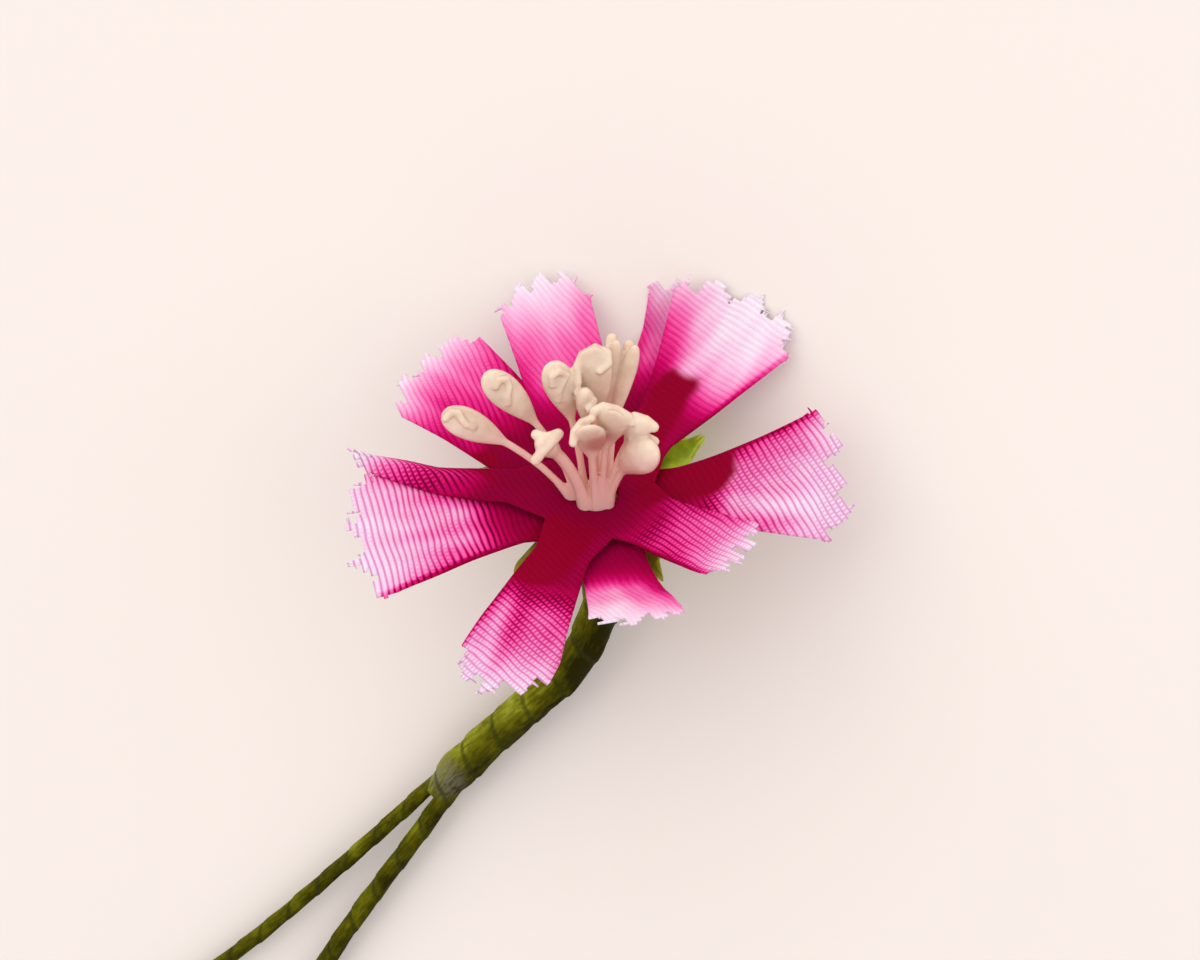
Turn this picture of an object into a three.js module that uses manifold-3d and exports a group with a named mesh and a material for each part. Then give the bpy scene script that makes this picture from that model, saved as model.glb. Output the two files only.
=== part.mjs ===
// A made sweet william: two stamped cloth petal layers, a bunch of dipped stamens, a green
// calyx and two wires wrapped in florist's tape, lying on its back petals and its wire legs.
// Lengths are millimetres. The head is shaped upright about its own axis, x right, y back and
// z out of the flower, and is then laid down. Once laid, z is up and x runs along the stem.

import * as THREE from "three";
import { mergeVertices } from "three/addons/utils/BufferGeometryUtils.js";
import Module from "manifold-3d";

const wasm = await Module();
wasm.setup();

// How the flower lies: its axis above the floor, its roll to the right, the centre's height,
// and the line that the stem keeps to, from the head's right towards its axis.
const AXIS_ABOVE_FLOOR = 29;
const ROLL = 19;
const HEAD_HEIGHT = 8.1;
const STEM_HEADING = 50.6;

// Cloth: its thickness, the step from one layer's middle to the next, and the shared cone,
// whose rise above the level is largest at the back.
const CLOTH = 0.6;
const LAYER_STEP = 0.95;
const CONE_RISE = 13;
const BACK_RISE = 15;
const HOLE_RADIUS = 1.95;
const HUB_RADIUS = 4.6;
const PETAL_HINGE = 7;
const WAIST_SHARE = 0.2;
const FLARE_FROM = 0.12;
const FLARE_POWER = 1.1;
const PETAL_ROWS = [0, 0.12, 0.26, 0.42, 0.57, 0.7, 0.81, 0.9, 1];
const PETAL_COLUMNS = 10;
const TIP_POWER = 3;
const TOOTH_HEIGHTS = [0.2, 0.5, -0.6, 0.5, 0.3, -0.7, 0.5, 0.5, -0.6, 0.5, 0];
const TOOTH_FROM = 0.8;
const TWIST_POWER = 1.5;
const BEND_STEPS = 8;

// Each petal: azimuth clockwise from the back, length, half width at the tip and at the waist,
// how much shorter its corners are, and how far its outer part rises, twists and swings
// sideways, in degrees. Where a petal's rise settles, it bends back down towards the tip.
function blade(azimuth, length, half, waist, round, rise, settle, twist, swing) {
  return { azimuth, length, half, waist, round, rise, settle, twist, swing };
}

const UPPER_PETALS = [
  blade(-11, 18.3, 4.1, 3.5, 3, 4, 0, -15, -2),
  blade(48, 19.2, 6.2, 1.8, 2.2, 18, 0, 18, -3),
  blade(130, 13.7, 3.2, 2.3, 1.3, 10, 0, -8, 1),
  blade(204, 19.4, 4.1, 1.9, 2.6, -10, 0, 6, -1),
  blade(271, 18, 1.3, 1.5, 1.3, 6, 0, 28, 8),
];
const LOWER_PETALS = [
  blade(34, 19.4, 4.2, 2.3, 1.3, -4, 0, 6, -5),
  blade(98, 18.2, 5.2, 2.3, 1.3, 2, 0, 25, -2),
  blade(171.5, 18, 3.4, 2.3, 1.3, 112, 0.85, -6, 2),
  blade(254, 18.2, 5, 2.3, 1.3, -4, 0, -20, 4),
  blade(310, 17.3, 5.2, 3.2, 2.2, -9, 0, 0, -1),
];

// Calyx: a turned cup whose rim follows the petals' cone, with six sepals under the cloth.
const SEPAL_LIFT = -1.05;
const SEPAL_THICKNESS = 0.6;
const SEPAL_HINGE = 3;
const SEPAL_ROWS = [0, 0.2, 0.4, 0.6, 0.78, 0.92, 1];
const SEPAL_COLUMNS = 4;
const SEPAL_ROOT = 1.4;
const SEPAL_BELLY = 2.1;
const SEPAL_TAPER_FROM = 0.7;
const SEPAL_TAPER_OVER = 0.32;
const SEPAL_TIP_SHARE = 0.02;
const SEPALS = [
  { azimuth: 47, length: 11.9, half: 1.2, rise: -2, settle: 0, twist: 0, swing: 0 },
  { azimuth: 67, length: 9.3, half: 0.4, rise: -4, settle: 0, twist: 0, swing: 0 },
  { azimuth: 87, length: 10.8, half: 1.9, rise: -14, settle: 0, twist: 0, swing: 0 },
  { azimuth: 149, length: 8, half: 1.4, rise: -6, settle: 0, twist: 0, swing: 0 },
  { azimuth: 214, length: 10.4, half: 2.4, rise: -10, settle: 0, twist: 0, swing: 0 },
  { azimuth: 285, length: 9.8, half: 1.6, rise: -10, settle: 0, twist: 0, swing: 0 },
];
const SOCKET_RADIUS = 1.25;
const SOCKET_FLOOR = -4.8;
const CALYX_RIM = 2.5;
const CALYX_TOP = -0.85;
const CALYX_SIDE = [
  [2.65, -1.45],
  [2.3, -2.6],
  [2.15, -4.2],
  [1.85, -5.6],
  [1.55, -6.6],
];
const LEAN_FROM = -4;
const LEAN_OVER = 2.6;
const NECK_RADIUS = 1.1;
const NECK_TOP = -6.7;
const NECK_FOOT = -8.2;

// Stamens: head centre, head length and width, and its flattening. The roots run into a peg.
const PEG_TOP = 2.2;
const PEG_FOOT = -4.4;
const BUNDLE_RADIUS = 1.35;
const PEG_SIDE = [
  [0.9, -4.4],
  [0.9, -0.6],
  [1.2, 0.4],
];
const STAMENS = [
  { head: [-8.5, -1.3, 9.2], length: 5.6, width: 3.0, thick: 2.5 },
  { head: [-6.1, -0.7, 11.7], length: 5.0, width: 3.2, thick: 2.5 },
  { head: [-2.1, -1.0, 12.5], length: 4.4, width: 3.0, thick: 2.5 },
  { head: [-0.8, 0.1, 10.0], length: 3.4, width: 2.3, thick: 2.0 },
  { head: [0.3, -0.4, 13.0], length: 5.0, width: 3.9, thick: 2.8 },
  { head: [1.5, 1.2, 12.6], length: 4.8, width: 1.8, thick: 1.6 },
  { head: [2.5, 0.5, 12.4], length: 4.8, width: 2.0, thick: 1.6 },
  { head: [-0.4, -4.6, 10.6], length: 4.2, width: 3.2, thick: 2.6 },
  { head: [1.3, -4.0, 11.4], length: 3.2, width: 3.3, thick: 2.2 },
  { head: [3.8, -3.7, 10.7], length: 2.7, width: 3.6, thick: 2.3 },
  { head: [3.6, -4.6, 8.3], length: 3.8, width: 3.3, thick: 2.7 },
  { head: [-3.5, -4.0, 8.3], length: 3.0, width: 3.1, thick: 2.3 },
];
const FILAMENT_ROOT = 0.62;
const FILAMENT_TIP = 0.55;
const ROOT_RING = 0.6;
const ROOT_HEIGHT = 1;
const BOW_OUT = 0.3;
const BOW_UP = 0.55;

// Stem: the wrapped main stem and its two legs, with a steel core in each, as points
// [x, y, z] in the laid frame, measured from the point of the floor below the head's centre.
const CUP_DEPTH = 1.5;
const CUP_RADIUS = 1.4;
const STEM_TOP = -6.9;
const STEM_RADIUS = 1.5;
const STEM_ROUTE = [
  [-10.3, -6.4, 2.95],
  [-13.8, -6.8, 2.6],
  [-17.4, -6.55, 2.4],
  [-20.8, -6.35, 2.25],
  [-24.2, -6.25, 2.15],
  [-27.9, -6.25, 2.05],
];
const STEM_TOP_FLARE = 0.19;
const STEM_FLARE_LENGTH = 5;
const STEM_DRAW = 2.4;
const LEG_START = -28.3;
const SLIM_LEG = [
  [-28.6, -5.5, 2.0],
  [-32.5, -5.35, 1.9],
  [-38.7, -4.96, 1.6],
  [-47, -4.3, 1.3],
  [-52.3, -3.65, 1.1],
  [-62, -2.5, 0.85],
  [-72, -1.5, 0.72],
  [-84, -0.7, 0.62],
];
const STOUT_LEG = [
  [-28.6, -7.2, 2.0],
  [-31.5, -7.5, 1.9],
  [-36, -8.05, 1.7],
  [-41, -8.7, 1.5],
  [-45.2, -9.4, 1.35],
  [-52, -10.9, 1.1],
  [-62, -13.6, 0.9],
  [-76, -17.8, 0.75],
];
const SLIM_RADIUS = 0.6;
const STOUT_RADIUS = 0.73;
const CORE_RADIUS = 0.22;
const BORE_RADIUS = 0.38;
const CORE_SPREAD = 0.6;
const CORE_BELOW_NECK = 1.1;
const SEAT_GAP = 0.3;
const TAPE_PITCH = 3.4;
const TAPE_STEP = 0.1;
const STEM_TAPE_STEP = 0.18;
const CURVE_SAMPLES = 400;
const SAMPLES_A_POINT = 8;

const radians = THREE.MathUtils.degToRad;

// The head's axes turned into the laid frame.
function layingMatrix() {
  const tilt = radians(AXIS_ABOVE_FLOOR);
  const roll = radians(ROLL);
  const up = new THREE.Vector3(
    -Math.cos(tilt) * Math.sin(roll),
    -Math.cos(tilt) * Math.cos(roll),
    Math.sin(tilt),
  );
  const heading = radians(STEM_HEADING);
  const along = new THREE.Vector3(Math.cos(heading), 0, Math.sin(heading));
  along.addScaledVector(up, -along.dot(up)).normalize();
  const across = new THREE.Vector3().crossVectors(up, along);
  const toHead = new THREE.Matrix4().makeBasis(along, across, up);
  const laid = toHead.transpose();
  laid.setPosition(0, 0, HEAD_HEIGHT);
  return laid;
}

const LAID = layingMatrix();

function coneRise(azimuth) {
  return radians(CONE_RISE + BACK_RISE * Math.cos(azimuth));
}

// The cone radius whose lifted point lies at a given distance from the head's axis.
function coneRadius(distance, azimuth, lift) {
  const rise = coneRise(azimuth);
  return (distance + lift * Math.sin(rise)) / Math.cos(rise);
}

// A point of the shared cone, lifted along its normal.
function conePoint(radius, azimuth, lift) {
  const rise = coneRise(azimuth);
  const out = radius * Math.cos(rise) - lift * Math.sin(rise);
  const height = radius * Math.sin(rise) + lift * Math.cos(rise);
  return new THREE.Vector3(out * Math.sin(azimuth), out * Math.cos(azimuth), height);
}

// The directions along, across and out of a blade at its hinge.
function bladeFrame(azimuth) {
  const rise = coneRise(azimuth);
  const along = new THREE.Vector3(
    Math.cos(rise) * Math.sin(azimuth),
    Math.cos(rise) * Math.cos(azimuth),
    Math.sin(rise),
  );
  const across = new THREE.Vector3(Math.cos(azimuth), -Math.sin(azimuth), 0);
  const out = new THREE.Vector3().crossVectors(across, along);
  return { along, across, out };
}

// The same directions a share of the way from the hinge to the tip, once bent.
function bentFrame(blade, share, frame) {
  const rise = radians(blade.rise) * share * (1 - blade.settle * share);
  const swing = radians(blade.swing) * share;
  const twist = radians(blade.twist) * Math.max(0, share) ** TWIST_POWER;
  const along = frame.along
    .clone()
    .multiplyScalar(Math.cos(rise) * Math.cos(swing))
    .addScaledVector(frame.out, Math.sin(rise))
    .addScaledVector(frame.across, Math.cos(rise) * Math.sin(swing));
  const out = frame.out
    .clone()
    .multiplyScalar(Math.cos(rise))
    .addScaledVector(frame.along, -Math.sin(rise));
  out.addScaledVector(along, -out.dot(along)).normalize();
  const across = new THREE.Vector3().crossVectors(along, out);
  return {
    along,
    across: across
      .clone()
      .multiplyScalar(Math.cos(twist))
      .addScaledVector(out, -Math.sin(twist)),
    out: out.clone().multiplyScalar(Math.cos(twist)).addScaledVector(across, Math.sin(twist)),
  };
}

// Where a point of the flat cut ends up: along and across the blade, and lifted off it.
function bladePoint(blade, hinge, s, w, lift) {
  const azimuth = radians(blade.azimuth);
  const flat = conePoint(Math.hypot(s, w), azimuth + Math.atan2(w, s), lift);
  const frame = bladeFrame(azimuth);
  const origin = conePoint(hinge, azimuth, 0);
  const offset = flat.clone().sub(origin);
  const past = offset.dot(frame.along);
  if (past <= 0) return flat;
  const centre = origin.clone();
  for (let i = 0; i < BEND_STEPS; i++) {
    const share = (past * (i + 0.5)) / BEND_STEPS / (blade.length - hinge);
    centre.addScaledVector(bentFrame(blade, share, frame).along, past / BEND_STEPS);
  }
  const end = bentFrame(blade, past / (blade.length - hinge), frame);
  return centre
    .addScaledVector(end.across, offset.dot(frame.across))
    .addScaledVector(end.out, offset.dot(frame.out));
}

// A closed blade or ring of blades from two matching grids of points and its open edges.
class SheetBuilder {
  constructor() {
    this.positions = [];
  }
  triangle(a, b, c) {
    for (const p of [a, b, c]) this.positions.push(p.x, p.y, p.z);
  }
  quad(a, b, c, d, alternate) {
    if (alternate) {
      this.triangle(a, b, d);
      this.triangle(b, c, d);
    } else {
      this.triangle(a, b, c);
      this.triangle(a, c, d);
    }
  }
  // Both faces of a grid, split alike, so the sheet keeps its thickness.
  faces(top, bottom) {
    for (let i = 0; i + 1 < top.length; i++)
      for (let j = 0; j + 1 < top[i].length; j++) {
        const turn = (i + j) % 2 === 1;
        this.quad(top[i][j], top[i][j + 1], top[i + 1][j + 1], top[i + 1][j], turn);
        this.quad(
          bottom[i][j],
          bottom[i + 1][j],
          bottom[i + 1][j + 1],
          bottom[i][j + 1],
          turn,
        );
      }
  }
  // The wall between a run of top points and the same run of bottom points.
  wall(top, bottom) {
    for (let i = 0; i + 1 < top.length; i++)
      this.quad(top[i], bottom[i], bottom[i + 1], top[i + 1], false);
  }
  geometry() {
    const made = new THREE.BufferGeometry();
    made.setAttribute("position", new THREE.Float32BufferAttribute(this.positions, 3));
    return mergeVertices(made, 1e-3);
  }
}

function petalHalf(blade, share) {
  const flare = Math.max(0, (share - FLARE_FROM) / (1 - FLARE_FROM)) ** FLARE_POWER;
  return blade.waist + (blade.half - blade.waist) * flare;
}

// The flat cut of one petal at a row and column, from its arc on the hub to its toothed tip.
function petalCut(blade, reachBefore, reachAfter, row, column) {
  const v = (2 * column) / PETAL_COLUMNS - 1;
  const angle = v < 0 ? v * reachBefore : v * reachAfter;
  const share = PETAL_ROWS[row];
  const arcAlong = HUB_RADIUS * Math.cos(angle);
  const arcAcross = HUB_RADIUS * Math.sin(angle);
  const blend = Math.min(1, share / WAIST_SHARE);
  const across = arcAcross * (1 - blend) + petalHalf(blade, share) * v * blend;
  const toothed = Math.max(0, (share - TOOTH_FROM) / (1 - TOOTH_FROM));
  const rounded = blade.length - blade.round * Math.abs(v) ** TIP_POWER;
  const tip = rounded + TOOTH_HEIGHTS[column] * toothed;
  return { s: arcAlong + (tip - arcAlong) * share, w: across };
}

// What lies on the floor is pressed flat against it.
function pressed(point, height) {
  const laid = point.applyMatrix4(LAID);
  laid.z = Math.max(laid.z, height);
  return laid;
}

function petalLayer(petals, lift) {
  const sheet = new SheetBuilder();
  const count = petals.length;
  const gap = (from, to) => (((to.azimuth - from.azimuth) % 360) + 360) % 360;
  petals.forEach((petal, i) => {
    const before = radians(gap(petals[(i + count - 1) % count], petal) / 2);
    const after = radians(gap(petal, petals[(i + 1) % count]) / 2);
    const grid = (side, height) => {
      const rows = [];
      for (const share of [0, 0.5]) {
        const ring = [];
        for (let j = 0; j <= PETAL_COLUMNS; j++) {
          const v = (2 * j) / PETAL_COLUMNS - 1;
          const angle = v < 0 ? v * before : v * after;
          const azimuth = radians(petal.azimuth) + angle;
          const inner = coneRadius(HOLE_RADIUS, azimuth, lift + side);
          const radius = THREE.MathUtils.lerp(inner, HUB_RADIUS, share);
          ring.push(pressed(conePoint(radius, azimuth, lift + side), height));
        }
        rows.push(ring);
      }
      for (let row = 0; row < PETAL_ROWS.length; row++) {
        const line = [];
        for (let j = 0; j <= PETAL_COLUMNS; j++) {
          const { s, w } = petalCut(petal, before, after, row, j);
          line.push(pressed(bladePoint(petal, PETAL_HINGE, s, w, lift + side), height));
        }
        rows.push(line);
      }
      return rows;
    };
    const top = grid(CLOTH / 2, CLOTH);
    const bottom = grid(-CLOTH / 2, 0);
    const column = (rows, j) => rows.slice(2).map((row) => row[j]);
    sheet.faces(top, bottom);
    sheet.wall(top[0], bottom[0]);
    sheet.wall(bottom.at(-1), top.at(-1));
    sheet.wall(column(bottom, 0), column(top, 0));
    sheet.wall(column(top, PETAL_COLUMNS), column(bottom, PETAL_COLUMNS));
  });
  return sheet.geometry();
}

// A manifold-3d solid of a closed geometry, and a geometry of a solid.
function solidOf(geometry) {
  const bare = geometry.clone();
  bare.deleteAttribute("normal");
  bare.deleteAttribute("uv");
  const merged = mergeVertices(bare, 1e-3);
  return new wasm.Manifold(
    new wasm.Mesh({
      numProp: 3,
      vertProperties: new Float32Array(merged.attributes.position.array),
      triVerts: new Uint32Array(merged.index.array),
    }),
  );
}

function geometryOf(solid) {
  const { vertProperties, triVerts } = solid.getMesh();
  const made = new THREE.BufferGeometry();
  made.setAttribute("position", new THREE.Float32BufferAttribute(vertProperties, 3));
  made.setIndex(new THREE.BufferAttribute(triVerts, 1));
  return made;
}

function joined(geometries) {
  return geometryOf(geometries.map(solidOf).reduce((all, next) => all.add(next)));
}

function sepalHalf(sepal, share) {
  const body = SEPAL_BELLY + (sepal.half - SEPAL_BELLY) * share ** 2;
  const past = Math.max(0, (share - SEPAL_TAPER_FROM) / SEPAL_TAPER_OVER);
  return body * Math.sqrt(Math.max(SEPAL_TIP_SHARE, 1 - past ** 2));
}

function sepalBlade(sepal) {
  const sheet = new SheetBuilder();
  const grid = (side) =>
    SEPAL_ROWS.map((share) => {
      const line = [];
      for (let j = 0; j <= SEPAL_COLUMNS; j++) {
        const w = sepalHalf(sepal, share) * ((2 * j) / SEPAL_COLUMNS - 1);
        const s = SEPAL_ROOT + (sepal.length - SEPAL_ROOT) * share;
        const lift = SEPAL_LIFT + side;
        line.push(bladePoint(sepal, SEPAL_HINGE, s, w, lift).applyMatrix4(LAID));
      }
      return line;
    });
  const top = grid(SEPAL_THICKNESS / 2);
  const bottom = grid(-SEPAL_THICKNESS / 2);
  const column = (rows, j) => rows.map((row) => row[j]);
  sheet.faces(top, bottom);
  sheet.wall(top[0], bottom[0]);
  sheet.wall(bottom.at(-1), top.at(-1));
  sheet.wall(column(bottom, 0), column(top, 0));
  sheet.wall(column(top, SEPAL_COLUMNS), column(bottom, SEPAL_COLUMNS));
  return sheet.geometry();
}

// A turned form about the head's axis, from [radius, height] pairs, laid down.
function turned(profile, sides) {
  const points = profile.map(([radius, height]) => new THREE.Vector2(radius, height));
  const form = new THREE.LatheGeometry(points, sides);
  form.rotateX(Math.PI / 2);
  return form;
}

// The calyx cup: near its rim it leans as the petals' cone does.
function calyxCup() {
  const cup = turned(
    [
      [0, SOCKET_FLOOR],
      [SOCKET_RADIUS, SOCKET_FLOOR],
      [SOCKET_RADIUS, CALYX_TOP],
      [CALYX_RIM, CALYX_TOP],
      ...CALYX_SIDE,
      [NECK_RADIUS, NECK_TOP],
      [NECK_RADIUS, NECK_FOOT],
      [0, NECK_FOOT],
    ].reverse(),
    16,
  );
  const place = cup.attributes.position;
  for (let i = 0; i < place.count; i++) {
    const radius = Math.hypot(place.getX(i), place.getY(i));
    const azimuth = Math.atan2(place.getX(i), place.getY(i));
    const share = THREE.MathUtils.clamp((place.getZ(i) - LEAN_FROM) / LEAN_OVER, 0, 1);
    const lean = radius * Math.sin(coneRise(azimuth)) * share;
    place.setZ(i, place.getZ(i) + lean);
  }
  cup.applyMatrix4(LAID);
  return cup;
}

// A closed tube along a curve, or a sleeve where a bore is given. The radius may vary with
// the length along the curve and the angle round it.
function tube(curve, steps, sides, radiusAt, bore = 0) {
  const frames = curve.computeFrenetFrames(steps, false);
  const length = curve.getLength();
  const ring = (i, radius) => {
    const centre = curve.getPointAt(i / steps);
    const points = [];
    for (let j = 0; j < sides; j++) {
      const angle = (2 * Math.PI * j) / sides;
      const r = typeof radius === "function" ? radius((length * i) / steps, angle) : radius;
      points.push(
        centre
          .clone()
          .addScaledVector(frames.normals[i], r * Math.cos(angle))
          .addScaledVector(frames.binormals[i], r * Math.sin(angle)),
      );
    }
    points.push(points[0]);
    return points;
  };
  const sheet = new SheetBuilder();
  const outer = [];
  const inner = [];
  for (let i = 0; i <= steps; i++) {
    outer.push(ring(i, radiusAt));
    inner.push(bore > 0 ? ring(i, bore) : null);
  }
  for (let i = 0; i < steps; i++) {
    sheet.wall(outer[i + 1], outer[i]);
    if (bore > 0) sheet.wall(inner[i], inner[i + 1]);
  }
  for (const [i, flip] of [
    [0, true],
    [steps, false],
  ]) {
    const centre = curve.getPointAt(i / steps);
    for (let j = 0; j < sides; j++) {
      const [a, b] = flip ? [outer[i][j + 1], outer[i][j]] : [outer[i][j], outer[i][j + 1]];
      if (bore > 0) {
        const [c, d] = flip ? [inner[i][j + 1], inner[i][j]] : [inner[i][j], inner[i][j + 1]];
        sheet.quad(a, b, d, c, false);
      } else {
        sheet.triangle(a, b, centre);
      }
    }
  }
  return sheet.geometry();
}

// Wound tape: each turn laps over the last with a small step.
function tapeRadius(radius, pitch, step) {
  return (s, angle) => {
    const turn = s / pitch + angle / (2 * Math.PI);
    const share = turn - Math.floor(turn);
    return radius - step / 2 + step * share;
  };
}

function onAxis(height) {
  return new THREE.Vector3(0, 0, height).applyMatrix4(LAID);
}

function route(points) {
  return points.map(([x, y, z]) => new THREE.Vector3(x, y, z));
}

function curveThrough(points) {
  return new THREE.CatmullRomCurve3(points, false, "centripetal");
}

function shifted(points, distance) {
  return points.map((p) => p.clone().add(new THREE.Vector3(0, distance, 0)));
}

// The main stem's curve from the calyx neck to the fork.
const stemPoints = [onAxis(STEM_TOP), onAxis(STEM_TOP - STEM_DRAW), ...route(STEM_ROUTE)];

// Each steel core runs in the stem from below the calyx, and on through its leg.
function corePoints(side, leg) {
  const top = [onAxis(NECK_FOOT - CORE_BELOW_NECK), ...route(STEM_ROUTE).slice(0, -1)];
  return [...shifted(top, side * CORE_SPREAD), ...route(leg)];
}

const slimCore = curveThrough(corePoints(1, SLIM_LEG));
const stoutCore = curveThrough(corePoints(-1, STOUT_LEG));

// The part of a curve between two values of x, as a curve of its own.
function cutAt(curve, fromX, toX) {
  const kept = curve.getSpacedPoints(CURVE_SAMPLES).filter((p) => p.x <= fromX && p.x >= toX);
  return curveThrough(
    kept.filter((_, i) => i % SAMPLES_A_POINT === 0 || i === kept.length - 1),
  );
}

function wrappedStem() {
  const curve = curveThrough(stemPoints);
  const wrap = tapeRadius(STEM_RADIUS, TAPE_PITCH, STEM_TAPE_STEP);
  const body = tube(curve, 30, 14, (s, angle) => {
    const flare = 1 + STEM_TOP_FLARE * Math.max(0, 1 - s / STEM_FLARE_LENGTH);
    return wrap(s, angle) * flare;
  });
  const cup = new THREE.CylinderGeometry(CUP_RADIUS, CUP_RADIUS, 2 * CUP_DEPTH, 12);
  cup.rotateX(Math.PI / 2);
  cup.translate(0, 0, STEM_TOP);
  cup.applyMatrix4(LAID);
  let solid = solidOf(body).subtract(solidOf(cup));
  for (const core of [slimCore, stoutCore])
    solid = solid.subtract(solidOf(tube(core, 80, 8, BORE_RADIUS)));
  return geometryOf(solid);
}

function wrappedLeg(core, leg, radius) {
  const curve = cutAt(core, LEG_START, leg.at(-1)[0]);
  const wrap = tapeRadius(radius, TAPE_PITCH, TAPE_STEP);
  return tube(curve, 34, 8, (s, angle) => wrap(s, angle), BORE_RADIUS);
}

function steelCore(core, leg) {
  return tube(cutAt(core, Infinity, leg.at(-1)[0] + SEAT_GAP), 76, 6, CORE_RADIUS);
}

// One stamen: a filament that curves out of the bunch and swells into a paddle.
function stamen({ head, length, width, thick }) {
  const top = new THREE.Vector3(...head);
  const reach = top.length();
  const root = new THREE.Vector3(top.x, top.y, 0).setLength(ROOT_RING).setZ(ROOT_HEIGHT);
  const bend = new THREE.Vector3(top.x * BOW_OUT, top.y * BOW_OUT, top.z * BOW_UP);
  const curve = new THREE.QuadraticBezierCurve3(root, bend, top);
  const filament = tube(curve, 6, 5, (s) =>
    THREE.MathUtils.lerp(FILAMENT_ROOT, FILAMENT_TIP, s / reach),
  );
  const paddle = new THREE.SphereGeometry(1, 8, 7);
  paddle.scale(width / 2, thick / 2, length / 2);
  const along = curve.getTangent(1);
  const side = new THREE.Vector3(1, 0, 0);
  side.addScaledVector(along, -side.dot(along)).normalize();
  const face = new THREE.Vector3().crossVectors(along, side);
  paddle.applyMatrix4(new THREE.Matrix4().makeBasis(side, face, along));
  paddle.translate(...head);
  return joined([filament, paddle]);
}

function stamenBunch() {
  const peg = turned(
    [
      [0, PEG_FOOT],
      ...PEG_SIDE,
      [BUNDLE_RADIUS, PEG_TOP],
      [0, PEG_TOP + 0.5],
    ],
    10,
  );
  const bunch = joined([peg, ...STAMENS.map(stamen)]);
  bunch.applyMatrix4(LAID);
  return bunch;
}

function clothMaterial(colour) {
  return new THREE.MeshStandardMaterial({ color: colour, roughness: 0.8, metalness: 0 });
}

const MATERIALS = {
  upperCloth: clothMaterial("#d2307c"),
  lowerCloth: clothMaterial("#c02060"),
  cream: new THREE.MeshStandardMaterial({ color: "#e6d3b8", roughness: 0.45, metalness: 0 }),
  calyxGreen: new THREE.MeshStandardMaterial({ color: "#86a02c", roughness: 0.6, metalness: 0 }),
  tapeGreen: new THREE.MeshStandardMaterial({ color: "#5f7020", roughness: 0.85, metalness: 0 }),
  steel: new THREE.MeshStandardMaterial({ color: "#8d8d8a", roughness: 0.4, metalness: 1 }),
};

function piece(name, geometry, material) {
  const mesh = new THREE.Mesh(geometry, material);
  mesh.name = name;
  return mesh;
}

const flower = new THREE.Group();
flower.add(
  piece("petals_upper", petalLayer(UPPER_PETALS, LAYER_STEP), MATERIALS.upperCloth),
  piece("petals_lower", petalLayer(LOWER_PETALS, 0), MATERIALS.lowerCloth),
  piece("stamens", stamenBunch(), MATERIALS.cream),
  piece("calyx", joined([calyxCup(), ...SEPALS.map(sepalBlade)]), MATERIALS.calyxGreen),
  piece("stem_wrap", wrappedStem(), MATERIALS.tapeGreen),
  piece("leg_wrap_slim", wrappedLeg(slimCore, SLIM_LEG, SLIM_RADIUS), MATERIALS.tapeGreen),
  piece("leg_wrap_stout", wrappedLeg(stoutCore, STOUT_LEG, STOUT_RADIUS), MATERIALS.tapeGreen),
  piece("wire_slim", steelCore(slimCore, SLIM_LEG), MATERIALS.steel),
  piece("wire_stout", steelCore(stoutCore, STOUT_LEG), MATERIALS.steel),
);

// The origin is on the floor, below the middle of the whole flower.
const extent = new THREE.Box3().setFromObject(flower);
const middle = extent.getCenter(new THREE.Vector3());
flower.position.set(-middle.x, -middle.y, 0);

export default flower;
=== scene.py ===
# %% [markdown]
# # A made sweet william, laid on a table
# This flower is not a plant. Two layers of woven ribbon cloth are stamped into five toothed
# petals each, a bunch of stamens is dipped in cream wax, and a green calyx holds them on two
# steel wires that are wrapped in florist's tape. The solids of the pieces are already
# packed. This lesson loads them, models finer pieces in their places, and gives every
# surface its own finish. All of Blender's lengths are metres, so a millimetre is 0.001.

# %% The frame of solids
import random
from math import asin, atan2, copysign, cos, degrees, exp, hypot, pi, radians, sin, tau
from types import SimpleNamespace
import bmesh
import bpy
from mathutils import Matrix, Vector, noise


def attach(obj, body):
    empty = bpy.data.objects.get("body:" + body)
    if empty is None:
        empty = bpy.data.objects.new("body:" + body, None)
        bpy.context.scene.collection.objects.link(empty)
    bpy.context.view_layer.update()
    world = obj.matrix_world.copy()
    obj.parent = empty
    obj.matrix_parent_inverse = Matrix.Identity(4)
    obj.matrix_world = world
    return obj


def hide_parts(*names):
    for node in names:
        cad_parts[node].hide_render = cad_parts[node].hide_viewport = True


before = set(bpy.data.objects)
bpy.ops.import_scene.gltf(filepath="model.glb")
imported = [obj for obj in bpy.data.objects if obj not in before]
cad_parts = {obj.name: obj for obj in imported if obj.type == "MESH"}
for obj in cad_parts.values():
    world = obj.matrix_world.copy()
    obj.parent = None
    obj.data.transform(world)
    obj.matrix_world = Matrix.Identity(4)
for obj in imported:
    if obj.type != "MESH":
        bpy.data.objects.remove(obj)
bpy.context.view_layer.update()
MM = 0.001
print("solids:", ", ".join(sorted(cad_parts)))

# %% Helpers for objects and meshes
def linked(name, data):
    """A new object with its mesh, lamp or camera, in the scene."""
    made = bpy.data.objects.new(name, data)
    bpy.context.scene.collection.objects.link(made)
    return made


def mesh_from(name, bm):
    """A mesh with smooth faces from a bmesh, which is freed."""
    mesh = bpy.data.meshes.new(name)
    bm.to_mesh(mesh)
    bm.free()
    mesh.polygons.foreach_set("use_smooth", [True] * len(mesh.polygons))
    return mesh


def join(bm, part):
    """Adds one bmesh to another and frees it."""
    made = mesh_from("part", part)
    bm.from_mesh(made)
    bpy.data.meshes.remove(made)


print("new objects go to:", bpy.context.scene.collection.name)

# %% Helpers for numbers
def clamped(value):
    """A share, held between 0 and 1."""
    return min(1, max(0, value))


def polar(x, y):
    """A flat point's distance from the middle, and its azimuth from the back."""
    return hypot(x, y), atan2(x, y)


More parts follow.
